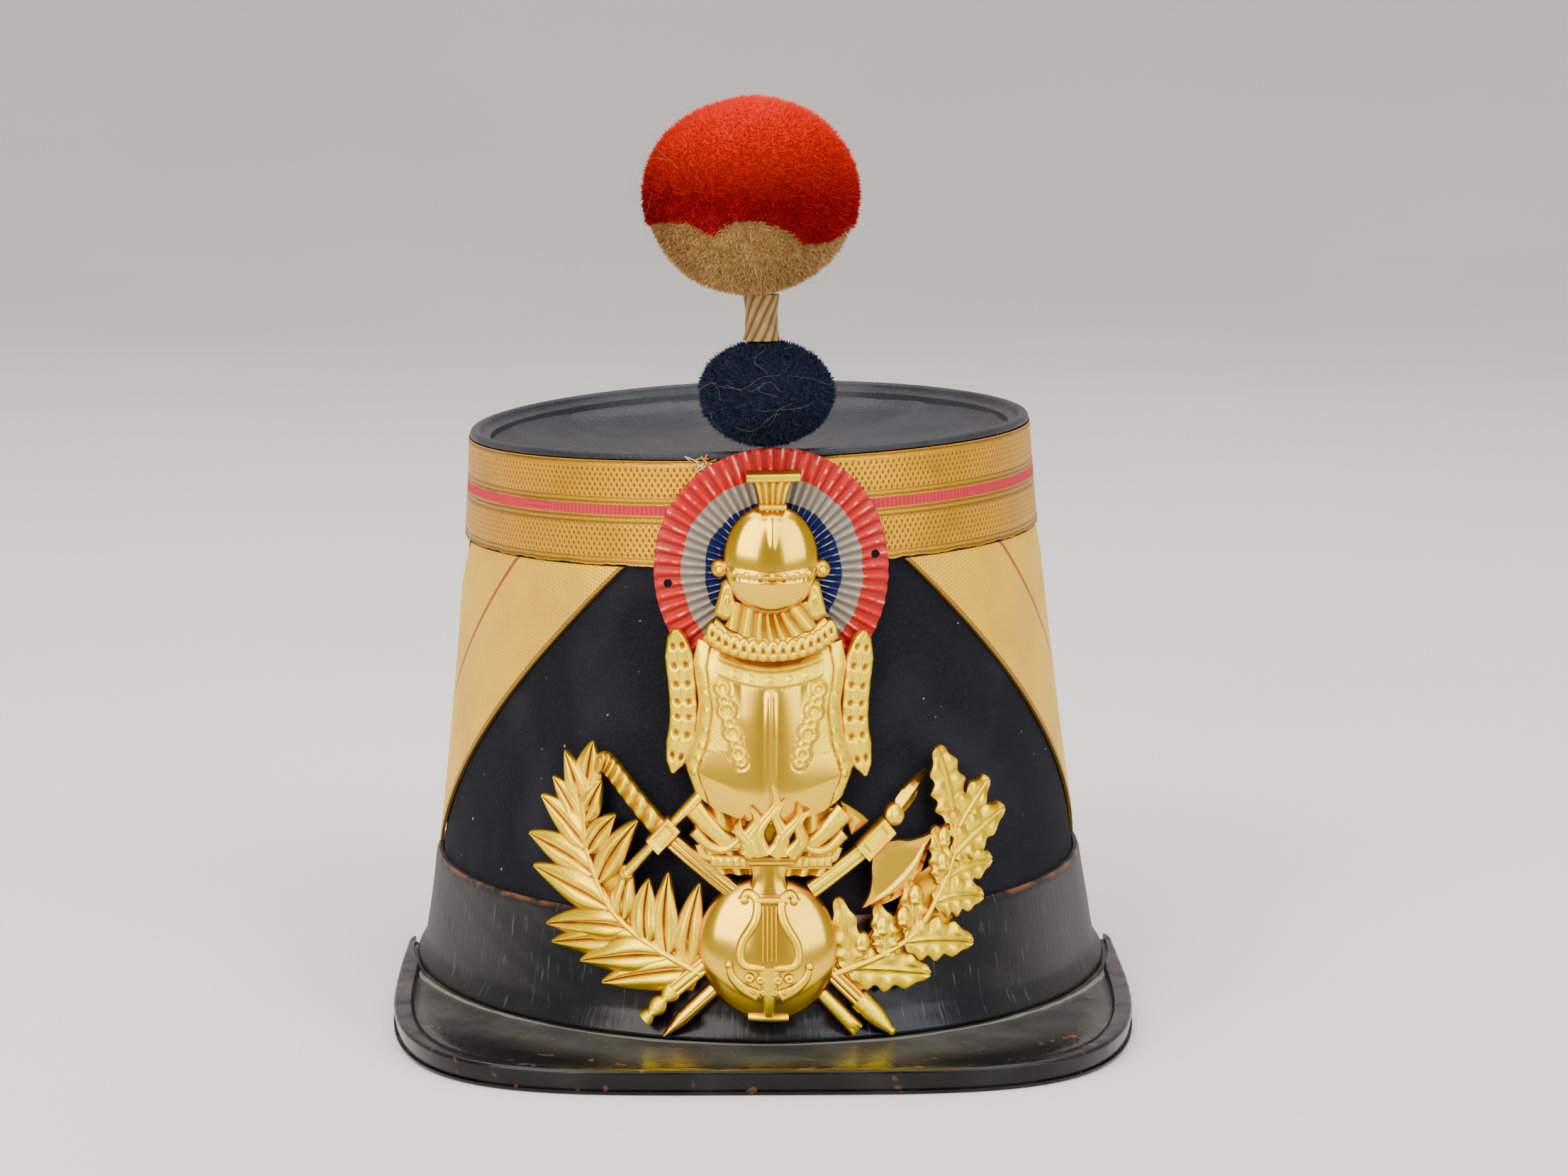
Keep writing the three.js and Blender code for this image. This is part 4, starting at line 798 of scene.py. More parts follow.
def build_binding(wall, colours):
    """The leather strip folded over the visor's edge."""
    piece = Piece()
    turns = visor_turns(VISOR_STATIONS)
    top = 5.8
    bend = np.linspace(0, math.pi / 2, 6)
    outer = [(0.9 * (1 - math.sin(t)), 0.9 * (1 - math.cos(t))) for t in bend[::-1]]
    outer += [(0.9 * (1 - math.cos(t)), top - 0.9 + 0.9 * math.sin(t)) for t in bend]
    section = np.array([
        *outer, (2.6, top), (4.2, top - 0.03), (4.8, top - 0.25), (5.0, top - 0.6),
        (5.0, top - 1.1), (1.1, top - 1.1), (1.1, 1.1), (5.0, 1.1), (5.0, 0.0),
    ])
    wide = wall.wide + LEATHER_OUT + 1.6
    long = wall.wide * wall.ratio + LEATHER_OUT + 1.6
    edge = visor_edge(wall, turns, np.zeros(VISOR_STATIONS))
    level = np.hypot(edge[:, 0] / wide, edge[:, 1] / long)
    room = (level - 1) * level / np.hypot(edge[:, 0] / wide ** 2, edge[:, 1] / long ** 2)
    inset = np.where(section[None, :, 0] <= 1.1, section[None, :, 0],
                     np.maximum(1.3, np.minimum(section[None, :, 0], room[:, None] - CLEAR)))
    spots = visor_edge(wall, np.broadcast_to(turns[:, None], inset.shape), inset)
    dents = 0.07 * ripple(turns * 60, 41, 8)[:, None] * (section[None, :, 1] > 4)
    loops = np.concatenate([spots, (section[None, :, 1] - np.abs(dents))[..., None]], axis=-1)
    piece.loft(loops)
    thing = piece.make("visor_edging", [edging_leather()])
    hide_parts("visor_binding")
    return [thing]


def build_cockade(wall, colours):
    """The pleated disc with its two sewing holes."""
    piece = Piece()
    radius, pleats, turn = COCKADE_RADIUS, 60, math.radians(6)
    up = wall.height + 2.8 - radius
    angles = np.linspace(0, 2 * math.pi, 600, endpoint=False) + turn
    radii = np.concatenate([np.linspace(0.01, 0.8, 17), np.linspace(0.82, 0.94, 15),
                            [0.96, 0.98, 0.995, 1.0]])
    back = np.array([1.0, 0.8, 0.5, 0.01])
    ridge = (np.cos(pleats * (angles - turn)) + 1) / 2

    def disc(share, high):
        """Points by share of the radius and height off the back, and where they lie."""
        right = radius * share * np.cos(angles)[None, :]
        lift = radius * share * np.sin(angles)[None, :]
        return wall.along(1.5 + right, up + lift, 1.6 + high), right, lift

    share = radii[:, None]
    depth = 0.9 * smooth(share, 0.03, 0.3)
    high = 1.8 - depth * (1 - ridge[None, :]) - 0.3 * smooth(share, 0.985, 1.0)
    high = high + 0.12 * ripple(angles[None, :] * 7 + share * 5, 61)
    _, right, lift = disc(share, high)
    crest = np.broadcast_to(ridge[None, :] * smooth(share, 0.05, 0.3), high.shape)
    holes = np.zeros(high.shape, bool)
    for side in (0, math.pi):
        spot = radius * 0.88 * np.array([math.cos(turn + side), math.sin(turn + side)])
        hole = np.hypot(right - spot[0], lift - spot[1]) < 1.0
        high = np.where(hole, 1.0, high)
        holes |= hole
    front, _, _ = disc(share, np.minimum(high, 1.8))
    hollow = 0.25 + 0.25 * (1 - back[:, None]) * 2
    rear, _, _ = disc(back[:, None], np.minimum(hollow, 0.5) + 0.35 * ridge[None, :] * back[:, None])
    loops = np.concatenate([front, rear])
    marks = np.zeros((*loops.shape[:2], 2))
    marks[:, :, 0] = np.concatenate([radii, back])[:, None] * radius
    marks[:, :, 1] = angles[None, :] * 10
    marks[:len(radii), :, 0][holes] = PIERCED
    crest = np.concatenate([crest, np.zeros(rear.shape[:2])])
    piece.loft(loops, marks=marks, crest=crest)
    thing = piece.make("hat_cockade", [painted_tin(colours)])
    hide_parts("cockade")
    return [thing]


# Round the big ball from -X: angle, level of the red wool's edge in half heights
BORDER = np.array([
    (-180, -0.28), (-132, -0.19), (-114, -0.33), (-108, -0.2), (-90, -0.18), (-75, -0.25), (-62, -0.42),
    (-45, -0.43), (-20, -0.30), (0, -0.28), (60, -0.24), (120, -0.32), (180, -0.28),
])


def sphere_spots(count, seed):
    """Even directions over a sphere, with a little disorder."""
    rng = np.random.default_rng(seed)
    k = np.arange(count) + 0.5
    z = 1 - 2 * k / count
    turn = k * math.pi * (1 + 5 ** 0.5)
    spots = np.stack([np.sqrt(1 - z * z) * np.cos(turn), np.sqrt(1 - z * z) * np.sin(turn), z], axis=-1)
    spots += rng.normal(0, 0.9 / math.sqrt(count), spots.shape)
    return spots / np.linalg.norm(spots, axis=1, keepdims=True), rng


def lumps(ways, seed, amount):
    """Soft swells over a ball, for each direction."""
    rng = np.random.default_rng(seed)
    total = np.zeros(ways.shape[:-1])
    for scale in (2.5, 5.0, 9.0, 15.0):
        axis = rng.normal(size=(3, 3))
        axis /= np.linalg.norm(axis, axis=1, keepdims=True)
        total += np.sin(ways @ axis.T * scale + rng.uniform(0, 6.3, 3)).sum(axis=-1) / scale * 2.5
    return amount * total / 3


def below_border(ways):
    """1 where a direction lies under the red wool's edge."""
    angle = np.degrees(np.arctan2(ways[..., 1], ways[..., 0]))
    return ways[..., 2] < np.interp(angle, *BORDER.T)


def ball_core(piece, middle, half, cap, seed, amount, rows=72, cols=144):
    """The woolly mass of a ball under its pile."""
    tilt = np.linspace(0.02, math.pi - 0.02, rows)[:, None]
    turn = np.linspace(0, 2 * math.pi, cols, endpoint=False)[None, :]
    ways = np.stack(np.broadcast_arrays(np.sin(tilt) * np.cos(turn), np.sin(tilt) * np.sin(turn),
                                        np.cos(tilt)), axis=-1)
    lower = below_border(ways) if cap else np.zeros(ways.shape[:2], bool)
    far = 1 + lumps(ways, seed, amount) - np.where(lower, cap / half[0], 0)
    piece.loft(middle + ways * half * far[..., None], finish=(lower[:-1]).astype(int), crest=0.2)


def pile(piece, middle, half, cap, seed, amount, count, length, thick, lie=0.42):
    """Cut wool fibres all over a ball."""
    ways, rng = sphere_spots(count, seed + 1)
    lower = below_border(ways) if cap else np.zeros(count, bool)
    far = 1 + lumps(ways, seed, amount) - np.where(lower, cap / half[0], 0)
    lean = rng.normal(0, lie, ways.shape)
    clump = lumps(ways, seed + 7, 0.9)[:, None] * rng.normal(size=3)
    heading = ways + lean + 0.5 * clump
    heading /= np.linalg.norm(heading, axis=1, keepdims=True)
    reach = length * rng.uniform(0.55, 1.1, count)[:, None]
    feet = middle + ways * half * far[:, None] * 0.985
    tips = feet + heading * reach
    tone = rng.uniform(0.2, 1.0, count) ** 1.5
    piece.spikes(feet, tips, thick * rng.uniform(0.7, 1.2, count), crest=tone, finish=lower.astype(int))


def loose_hairs(piece, middle, half, count, seed, finish):
    """Long pale hairs that wander over and off a ball."""
    rng = np.random.default_rng(seed)
    for _ in range(count):
        way = rng.normal(size=3)
        way /= np.linalg.norm(way)
        across = np.cross(way, rng.normal(size=3))
        across /= np.linalg.norm(across)
        steps = np.linspace(0, 1, 16)[:, None]
        span = rng.uniform(0.3, 0.9)
        lift = rng.uniform(0.02, 0.14)
        sway = ripple(steps[:, 0] * 3, int(rng.integers(1000)), 3)[:, None]
        wander = 0.16 * sway * np.cross(way, across)
        path = way * np.cos(span * steps) + across * np.sin(span * steps) + wander
        path *= 1.0 + lift * np.sin(math.pi * steps) + 0.015
        tube(piece, middle + path * half, 0.024, sides=3, crest=0.9, finish=finish)


def build_pompom(wall, colours):
    """Both balls, the cord between them and the wire's finish."""
    rim = wall.point(FRONT, wall.height, 0.0)
    small_half = np.array([16.7, 16.7, 13.2])
    small = np.array([rim[0] + 0.8, rim[1] + 2.6, rim[2] + 2.3 + small_half[2]])
    stem_foot = small[2] + small_half[2] + 0.3
    big_half = np.array([26.6, 26.6, 24.4])
    big = np.array([small[0] - 3.6, small[1] - 2.8, stem_foot + 9.4 + 0.3 + big_half[2] - 0.9])
    # the last colour is the top's warmer tone, partly faded dye and partly painted light
    red = dyed_wool("wool pile, dyed red", "#C60701", "#560000", "#F83000")
    buff = dyed_wool("wool pile, undyed buff", "#D8B070", "#7A5830")
    navy = dyed_wool("wool pile, dyed navy", "#2C3650", "#06080E")
    hair = dyed_wool("wool hairs, undyed", "#7A7468", "#504A40")
    piece = Piece()
    core = big_half - 1.4
    ball_core(piece, big, core, 0.9, 5, 0.03)
    pile(piece, big, core, 0.9, 5, 0.03, 38000, 1.9, 0.24)
    loose_hairs(piece, big, core + 1.2, 10, 77, 2)
    top = piece.make("pompom_red", [red, buff, hair])
    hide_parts("pompom_big_ball")
    piece = Piece()
    core = small_half - 1.2
    ball_core(piece, small, core, 0, 9, 0.03, 40, 80)
    pile(piece, small, core, 0, 9, 0.03, 17000, 1.7, 0.24, 0.9)
    loose_hairs(piece, small, core + 0.9, 36, 99, 1)
    lower = piece.make("pompom_navy", [navy, hair])
    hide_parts("pompom_small_ball")
    piece = Piece()
    steps = np.linspace(0, 1, 60)[:, None]
    turn = np.linspace(0, 2 * math.pi, 80, endpoint=False)[None, :]
    strand = np.abs(np.cos(5 * turn - 7 * steps))
    waist = 4.4 - 0.5 * np.sin(math.pi * steps) - 0.5 * (1 - strand)
    middle = np.array([small[0] - 1.2, small[1], stem_foot])
    spots = np.stack(np.broadcast_arrays(waist * np.cos(turn), waist * np.sin(turn),
                                         10.9 * steps - 0.9), axis=-1)
    # painted shade: the cord is darker in the grooves between its strands
    piece.loft(middle + spots, crest=strand)
    stem = piece.make("pompom_cord", [dyed_wool("wool cord, twisted", "#B08E5C", "#4E3820")])
    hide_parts("pompom_stem")
    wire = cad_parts["pompom_wire"]
    wire.data.materials.clear()
    wire.data.materials.append(drawn_steel())
    return [top, lower, stem]


def build_chevrons(wall, colours):
    """The V of each side."""
    return [*build_chevron(wall, colours, 1, "lace_chevron_right"),
            *build_chevron(wall, colours, -1, "lace_chevron_left")]


# Emblem. Its drawing is in squares of nearly a millimetre: right of its middle line, up from its foot.

SQUARE = 0.99711        # in millimetres
BALL_UP = 26.8          # middle of the flaming ball, in squares
LEAN = math.radians(1.9)
MIDDLE_ALONG = -2.1     # the middle line's place along the wall, in millimetres
PLATE_BACK = 3.7        # the flat back's distance from the cloth

LAUREL_STEM = [(-16, 20), (-29, 26), (-38, 32), (-43, 39), (-46.5, 48), (-47, 58)]
LAUREL = [              # share of the stem's length, tip, half width
    (1.00, (-44.5, 72.0), 3.2), (0.93, (-53.2, 68.8), 2.9), (0.90, (-41.8, 63.0), 2.6),
    (0.84, (-57.0, 62.0), 2.9), (0.78, (-60.8, 57.1), 3.0), (0.76, (-37.8, 55.4), 2.5),
    (0.66, (-65.2, 47.2), 3.3), (0.62, (-31.9, 54.6), 2.9), (0.50, (-63.1, 39.9), 3.2),
    (0.42, (-33.5, 43.5), 2.8), (0.38, (-58.4, 26.8), 3.0), (0.27, (-28.9, 41.2), 2.8),
    (0.28, (-56.6, 22.6), 3.2), (0.16, (-24.0, 43.0), 2.8), (0.16, (-47.5, 19.8), 3.2),
    (0.06, (-16.3, 41.0), 2.8), (0.03, (-41.3, 15.5), 3.3),
]
OAK_STEM = [(16, 21), (28.4, 25.3), (37, 30.1), (43.1, 37.9), (47.8, 46.2), (48.5, 54)]
OAK = [
    (1.00, (43.4, 72.0), 4.6), (0.92, (60.5, 63.2), 4.0), (0.84, (66.0, 56.0), 4.0),
    (0.72, (61.0, 44.2), 4.0), (0.60, (57.4, 36.0), 3.9), (0.36, (53.4, 26.0), 4.0),
    (0.06, (40.5, 19.6), 4.2), (0.05, (16.2, 38.4), 3.2), (0.24, (26.0, 36.5), 3.0),
    (0.40, (34.6, 41.5), 3.4), (0.70, (42.0, 53.5), 3.2),
]
ACORNS = [(22.6, 28.0), (27.6, 31.6), (33.2, 33.4), (36.6, 38.2), (44.6, 45.4), (45.0, 51.0)]
MATT, BRIGHT = 0.0, 1.0       # satin or burnished


def rounded(s, rim, top, power=2.0):
    """Height of a rounded crown over a rim, s from -1 to 1 across."""
    return rim + (top - rim) * np.maximum(0, 1 - np.abs(s) ** power) ** (1 / power)


class Stamping:
    """Raises the emblem's forms from its flat back, which follows the hat's wall."""

    def __init__(self, wall):
        self.wall = wall
        self.piece = Piece()

    def on_plate(self, spots, high):
        right = spots[..., 0] * SQUARE
        up = (spots[..., 1] - BALL_UP) * SQUARE
        along = MIDDLE_ALONG + right * math.cos(LEAN) + up * math.sin(LEAN)
        z = BALL_UP * SQUARE + up * math.cos(LEAN) - right * math.sin(LEAN)
        return self.wall.along(along, z, PLATE_BACK + high)

    def panel(self, spots, high, recess=0.0, shine=MATT):
        """A raised sheet over a grid of spots, closed behind."""
        rows, cols = spots.shape[:2]
        back = np.linspace(cols - 1, 0, min(cols, 6)).round().astype(int)
        high = np.broadcast_to(high, (rows, cols))
        loops = np.concatenate([self.on_plate(spots, high), self.on_plate(spots[:, back], 0.0)], axis=1)
        recess = np.broadcast_to(recess, (rows, cols))
        # recess is painted shade: it darkens the brass in hollows and where the forms meet the plate
        crest = np.concatenate([recess, np.ones((rows, len(back)))], axis=1)
        marks = np.zeros((*loops.shape[:2], 2))
        marks[:, :cols, 0] = shine
        self.piece.loft(loops, crest=crest, marks=marks)

    def strip(self, path, half, high, across=9, recess=None, shine=MATT):
        """A raised strip along a path. half takes t; high and recess take s across and t along."""
        path = np.asarray(path, float)
        t = np.linspace(0, 1, len(path))[:, None]
        s = np.linspace(-1, 1, across)[None, :]
        ahead = np.gradient(path, axis=0)
        ahead /= np.linalg.norm(ahead, axis=1, keepdims=True)
        normal = np.stack([-ahead[:, 1], ahead[:, 0]], axis=-1)
        wide = np.broadcast_to(half(t[:, 0]) if callable(half) else half, len(path))
        spots = path[:, None] + normal[:, None] * (wide[:, None] * s)[..., None]
        levels = high(s, t) if callable(high) else rounded(s, 0.6 * high, high) + 0 * t
        # by default a strip darkens towards its edges, as painted shade
        dark = recess(s, t) if recess else 0.75 * smooth(np.abs(s), 0.72, 1.0) + 0 * t
        self.panel(spots, levels, dark, shine)

    def boss(self, outline, middle, high, rings=7, recess=None, shine=MATT):
        """A raised form in an outline. high takes the share out from its middle and the way round."""
        outline, middle = np.asarray(outline, float), np.asarray(middle, float)
        way = outline - middle
        turn = np.arctan2(way[:, 1], way[:, 0])[None, :]
        share = np.cos(np.linspace(0, math.pi / 2 - 0.02, rings))[:, None]
        levels = high(share, turn) if callable(high) else rounded(share, 0.5 * high, high) + 0 * turn
        # by default a boss darkens towards its rim, as painted shade
        dark = recess(share, turn) if recess else 0.8 * smooth(share, 0.85, 1.0) + 0 * turn
        spots = middle + way[None] * share[..., None]
        loops = np.concatenate([self.on_plate(outline[None], 0.0), self.on_plate(spots, levels)])
        crest = np.concatenate([np.ones((1, len(outline))), dark])
        marks = np.zeros((*loops.shape[:2], 2))
        marks[..., 0] = shine
        self.piece.loft(loops, crest=crest, marks=marks)

    def knob(self, spot, radius, high, shine=MATT, sides=12):
        """A round rivet or ball end."""
        turn = np.linspace(0, 2 * math.pi, sides, endpoint=False)
        outline = np.array(spot) + radius * np.stack([np.cos(turn), np.sin(turn)], axis=-1)
        self.boss(outline, spot, lambda s, a: high + radius * (np.sqrt(1 - 0.98 * s * s) - 1), 5,
                  shine=shine)


def oval(middle, wide, tall, sides=24):
    """The outline of an oval."""
    turn = np.linspace(0, 2 * math.pi, sides, endpoint=False)
    return np.array(middle) + np.stack([wide * np.cos(turn), tall * np.sin(turn)], axis=-1)


def straight(start, end, count):
    """A straight path."""
    return np.linspace(start, end, count)


def mirrored(side, points):
    """Points of the right half, turned over to the left where the side is -1."""
    return [(side * x, y) for x, y in points]


def leaf_path(stem, at, tip, half, count):
    """A leaf leaves its stem forward, then bends to its tip."""
    line = curve(stem, 200)
    far = np.concatenate([[0], np.cumsum(np.linalg.norm(np.diff(line, axis=0), axis=1))])
    i = min(int(np.searchsorted(far, at * far[-1])), 198)
    base = line[i]
    ahead = (line[i + 1] - line[i]) / np.linalg.norm(line[i + 1] - line[i])
    tip = np.array(tip)
    knee = (base + ahead * half * 1.6 + (base + tip) / 2) / 2
    t = np.linspace(0, 1, count)[:, None]
    return (1 - t) ** 2 * base + 2 * t * (1 - t) * knee + t * t * tip


def bed(plate, stem):
    """The ground of small leaves that fills a branch behind the large ones."""
    def width(t):
        return 1.2 + 6.0 * np.sin(math.pi * np.minimum(1, 0.12 + t * 0.86)) ** 0.6 + 0.7 * np.sin(34 * t)

    def high(s, t):
        return 1.1 + 0.5 * np.abs(np.sin(17 * t + 3.0 * np.abs(s))) * (1 - 0.5 * np.abs(s))

    def recess(s, t):
        return 0.25 + 0.5 * np.abs(np.cos(17 * t + 3.0 * np.abs(s))) + 0.2 * np.abs(s)

    plate.strip(curve(stem, 90), width, high, 25, recess)


def stamp_laurel(plate):
    """The laurel branch on the left, leaf by leaf."""
    bed(plate, LAUREL_STEM)
    plate.strip(curve(LAUREL_STEM, 50), lambda t: 1.0 - 0.3 * t, 3.0, 7)
    for k, (at, tip, half) in enumerate(LAUREL):
        lift = 0.45 * (k % 3)

        def high(s, t, lift=lift, k=k):
            puff = np.sin(math.pi * np.abs(s) ** 0.8)
            wave = 0.22 * np.sin(9 * t + 2 * np.abs(s) + k)
            return (1.0 + lift + (1.25 * puff + wave) * (0.5 + 0.5 * np.sin(math.pi * t))
                    + 0.3 * (1 - np.abs(s)) - 0.35 * np.exp(-(s / 0.08) ** 2))

        def recess(s, t):
            return np.maximum(0.55 * np.exp(-(s / 0.1) ** 2), 0.6 * smooth(np.abs(s), 0.82, 1)) + 0 * t

        def width(t, half=half):
            return 1.3 * half * (0.07 + 0.95 * np.sin(math.pi * t ** 0.8) ** 0.8)

        plate.strip(leaf_path(LAUREL_STEM, at, tip, half, 22), width, high, 21, recess)


def stamp_oak(plate):
    """The oak branch on the right, with its acorns."""
    bed(plate, OAK_STEM)
    plate.strip(curve(OAK_STEM, 50), lambda t: 1.0 - 0.3 * t, 3.0, 7)
    for k, (at, tip, half) in enumerate(OAK):
        lift = 0.45 * (k % 3)

        def high(s, t, lift=lift):
            lobes = 0.5 + 0.5 * np.cos(8 * math.pi * (t - 0.06 * np.abs(s)))
            rib = 0.4 * np.exp(-(s / 0.09) ** 2)
            swell = np.sqrt(np.maximum(0, 1 - 0.8 * s * s)) * (0.6 + 0.4 * np.sin(math.pi * t))
            return 1.0 + lift + 0.9 * swell + 0.75 * lobes * smooth(np.abs(s), 0.1, 0.6) + rib

        def recess(s, t):
            lobes = 0.5 - 0.5 * np.cos(8 * math.pi * (t - 0.06 * np.abs(s)))
            side = np.exp(-((np.abs(s) - 0.18) / 0.08) ** 2) * 0.45
            rim = 0.6 * smooth(np.abs(s), 0.85, 1)
            return np.maximum(np.maximum(side, 0.45 * lobes ** 3 * np.abs(s)), rim)

        def width(t, half=half):
            swell = np.abs(np.sin(math.pi * t ** 0.8)) ** 0.6
            return 1.28 * half * (0.14 + 0.86 * swell * (0.84 + 0.16 * np.cos(8 * math.pi * t)))

        plate.strip(leaf_path(OAK_STEM, at, tip, half, 40), width, high, 21, recess)
    for spot in ACORNS:
        plate.boss(oval(spot, 2.0, 2.5, 16), spot, 3.6, 6)
        cup = (spot[0], spot[1] - 1.2)
        plate.boss(oval(cup, 1.9, 1.3, 14), cup, 3.9, 4)


def fluted(top):
    """Heights of a shaft with two grooves along it."""
    def high(s, t):
        return rounded(s, 0.55 * top, top, 2.6) - 0.35 * np.exp(-((np.abs(s) - 0.42) / 0.13) ** 2) + 0 * t
    return high


def block(top):
    """Heights of a framed block with a sunk middle."""
    def high(s, t):
        sunk = smooth(0.62 - np.abs(s), 0, 0.12) * smooth(0.36 - np.abs(t - 0.5), 0, 0.08)
        return top - 0.7 * sunk - 0.5 * smooth(np.abs(s), 0.9, 1)
    return high


def stamp_sabre(plate):
    """The sabre's hilt and guard, and its scabbard's end below the ball."""
    grip = curve([(-43.2, 65.2), (-41.6, 67.6), (-38.8, 66.0), (-33.4, 60.4), (-26, 53)], 90)
    plate.strip(grip, lambda t: 1.1 + 1.35 * np.minimum(1, t * 3),
                lambda s, t: rounded(s, 2.2, 3.8) + 0.35 * np.sin(70 * t + 1.6 * s) * smooth(t, 0.2, 0.3),
                13, lambda s, t: 0.45 - 0.45 * np.sin(70 * t + 1.6 * s) * smooth(t, 0.2, 0.3) + 0 * s)
    plate.strip(straight((-34.6, 42.2), (-16.0, 62.2), 20),
                lambda t: 1.3 - 0.25 * np.sin(math.pi * t) ** 2, 3.5)
    plate.strip(straight((-28, 48.9), (-22.6, 54.7), 24), 2.3, block(4.4), 17)
    plate.knob((-34.9, 41.9), 2.0, 3.4)
    plate.knob((-15.8, 62.4), 2.0, 3.4)
    plate.strip(straight((-24, 51.2), (-8, 39.4), 16), 2.2, fluted(3.3), 15, shine=BRIGHT)
    plate.strip(straight((12, 24), (22.5, 14.2), 14), 1.9, fluted(3.0), 15, shine=BRIGHT)
    plate.strip(straight((22.5, 14.2), (29.6, 7.7), 24),
                lambda t: 0.7 + 1.7 * np.sin(math.pi * (0.3 + 0.65 * t)), 3.1, 11)
    plate.strip(straight((21.6, 15.0), (23.2, 13.5), 6), 2.5, 3.5, 9)
    plate.knob((30.0, 7.3), 1.1, 2.3)
    plate.strip(straight((10, 19), (21.4, 7.8), 16), lambda t: 1.5 + 0.3 * t,
                lambda s, t: rounded(s, 1.4, 2.7) - 1.0 * smooth(t, 0.9, 0.97) * (np.abs(s) < 0.6), 11)


AXE_BACK = [(41.6, 52.4), (38.5, 51.4), (34.7, 50.8), (31.5, 51.1), (28.2, 50.6), (25.6, 48.4),
            (24.9, 45.4), (25.0, 42.5), (24.3, 39.0), (22.4, 35.8)]
AXE_EDGE = [(41.6, 52.4), (41.5, 50.6), (40.6, 48.6), (38.4, 43.6), (35.2, 39.8), (31.2, 37.4),
            (27.0, 36.2), (24.6, 35.9), (22.4, 35.8)]


def stamp_axe(plate):
    """The axe head, its shaft through the ball and the tools' ends."""
    share = np.linspace(0, 1, 22)[None, :, None]
    inner, outer = curve(AXE_BACK, 60)[:, None], curve(AXE_EDGE, 60)[:, None]
    spots = inner + (outer - inner) * share
    across = share[..., 0]
    high = 2.2 - 0.6 * across - 0.7 * smooth(across, 0.8, 1.0) + 0.25 * bump(across, 0.78, 0.05)
    recess = 0.9 * bump(across, 0.1, 0.12) + 0.5 * bump(across, 0.8, 0.05)
    plate.panel(spots, high + 0 * spots[..., 0], recess, BRIGHT)
    spike = [(17.0, 60.8), (18.6, 56.6), (19.8, 52.8), (22.2, 54.4), (24.2, 55.9), (22.8, 57.2),
             (21.4, 58.2), (19.2, 59.6)]
    plate.boss(spike, (21.2, 56.4), lambda s, a: 1.2 + 1.8 * (1 - s), 5)
    plate.strip(straight((31.0, 57.3), (40.0, 67.0), 26),
                lambda t: 1.6 - 1.5 * t + 1.2 * np.sin(math.pi * t ** 0.9),
                lambda s, t: 1.2 + 2.0 * (1 - np.abs(s)) + 0 * t, 11, shine=BRIGHT)
    plate.boss(oval((30.8, 57.2), 2.7, 2.7), (30.8, 57.2), 4.2, 7)
    plate.strip(straight((22.4, 48.8), (29.4, 55.0), 26), 2.6, block(4.3), 17)
    plate.strip(straight((22.6, 49.2), (10.0, 40.2), 14), 2.0, fluted(3.2), 15)
    plate.strip(straight((-12, 25), (-22.5, 16.0), 14), 2.0, fluted(3.0), 15)
    plate.strip(straight((-22.5, 16.0), (-29.8, 8.2), 44),
                lambda t: 1.1 + 1.2 * np.abs(np.sin(math.pi * (2.2 * t + 0.3))) * (1 - 0.35 * t), 3.3, 11)
    plate.strip(straight((-10, 19.5), (-25.0, 5.0), 24),
                lambda t: 0.2 + 1.5 * np.minimum(1, 3.2 * (1 - t)) ** 0.8, 2.7, 9, shine=BRIGHT)


SCROLL = [              # the chain's rings on each side of the breast: middle, radius
    ((11.3, 87.6), 1.3), ((10.9, 84.9), 1.0), ((10.2, 82.4), 1.7), ((9.5, 79.7), 1.0), ((8.8, 77.3), 1.6),
    ((8.0, 74.8), 0.9), ((7.5, 72.6), 1.3), ((6.8, 70.6), 0.8),
]
WING_WIDTHS = (         # share down a shoulder wing, half width there
    (0, 0.05, 0.18, 0.5, 0.85, 0.95, 1),
    (0.8, 2.3, 3.5, 3.4, 3.3, 2.2, 0.7),
)
ARM_RIVETS = [(15.3, 86.1), (14.8, 82.0), (14.9, 77.5), (15.8, 73.7), (16.6, 70.7), (17.6, 67.6)]


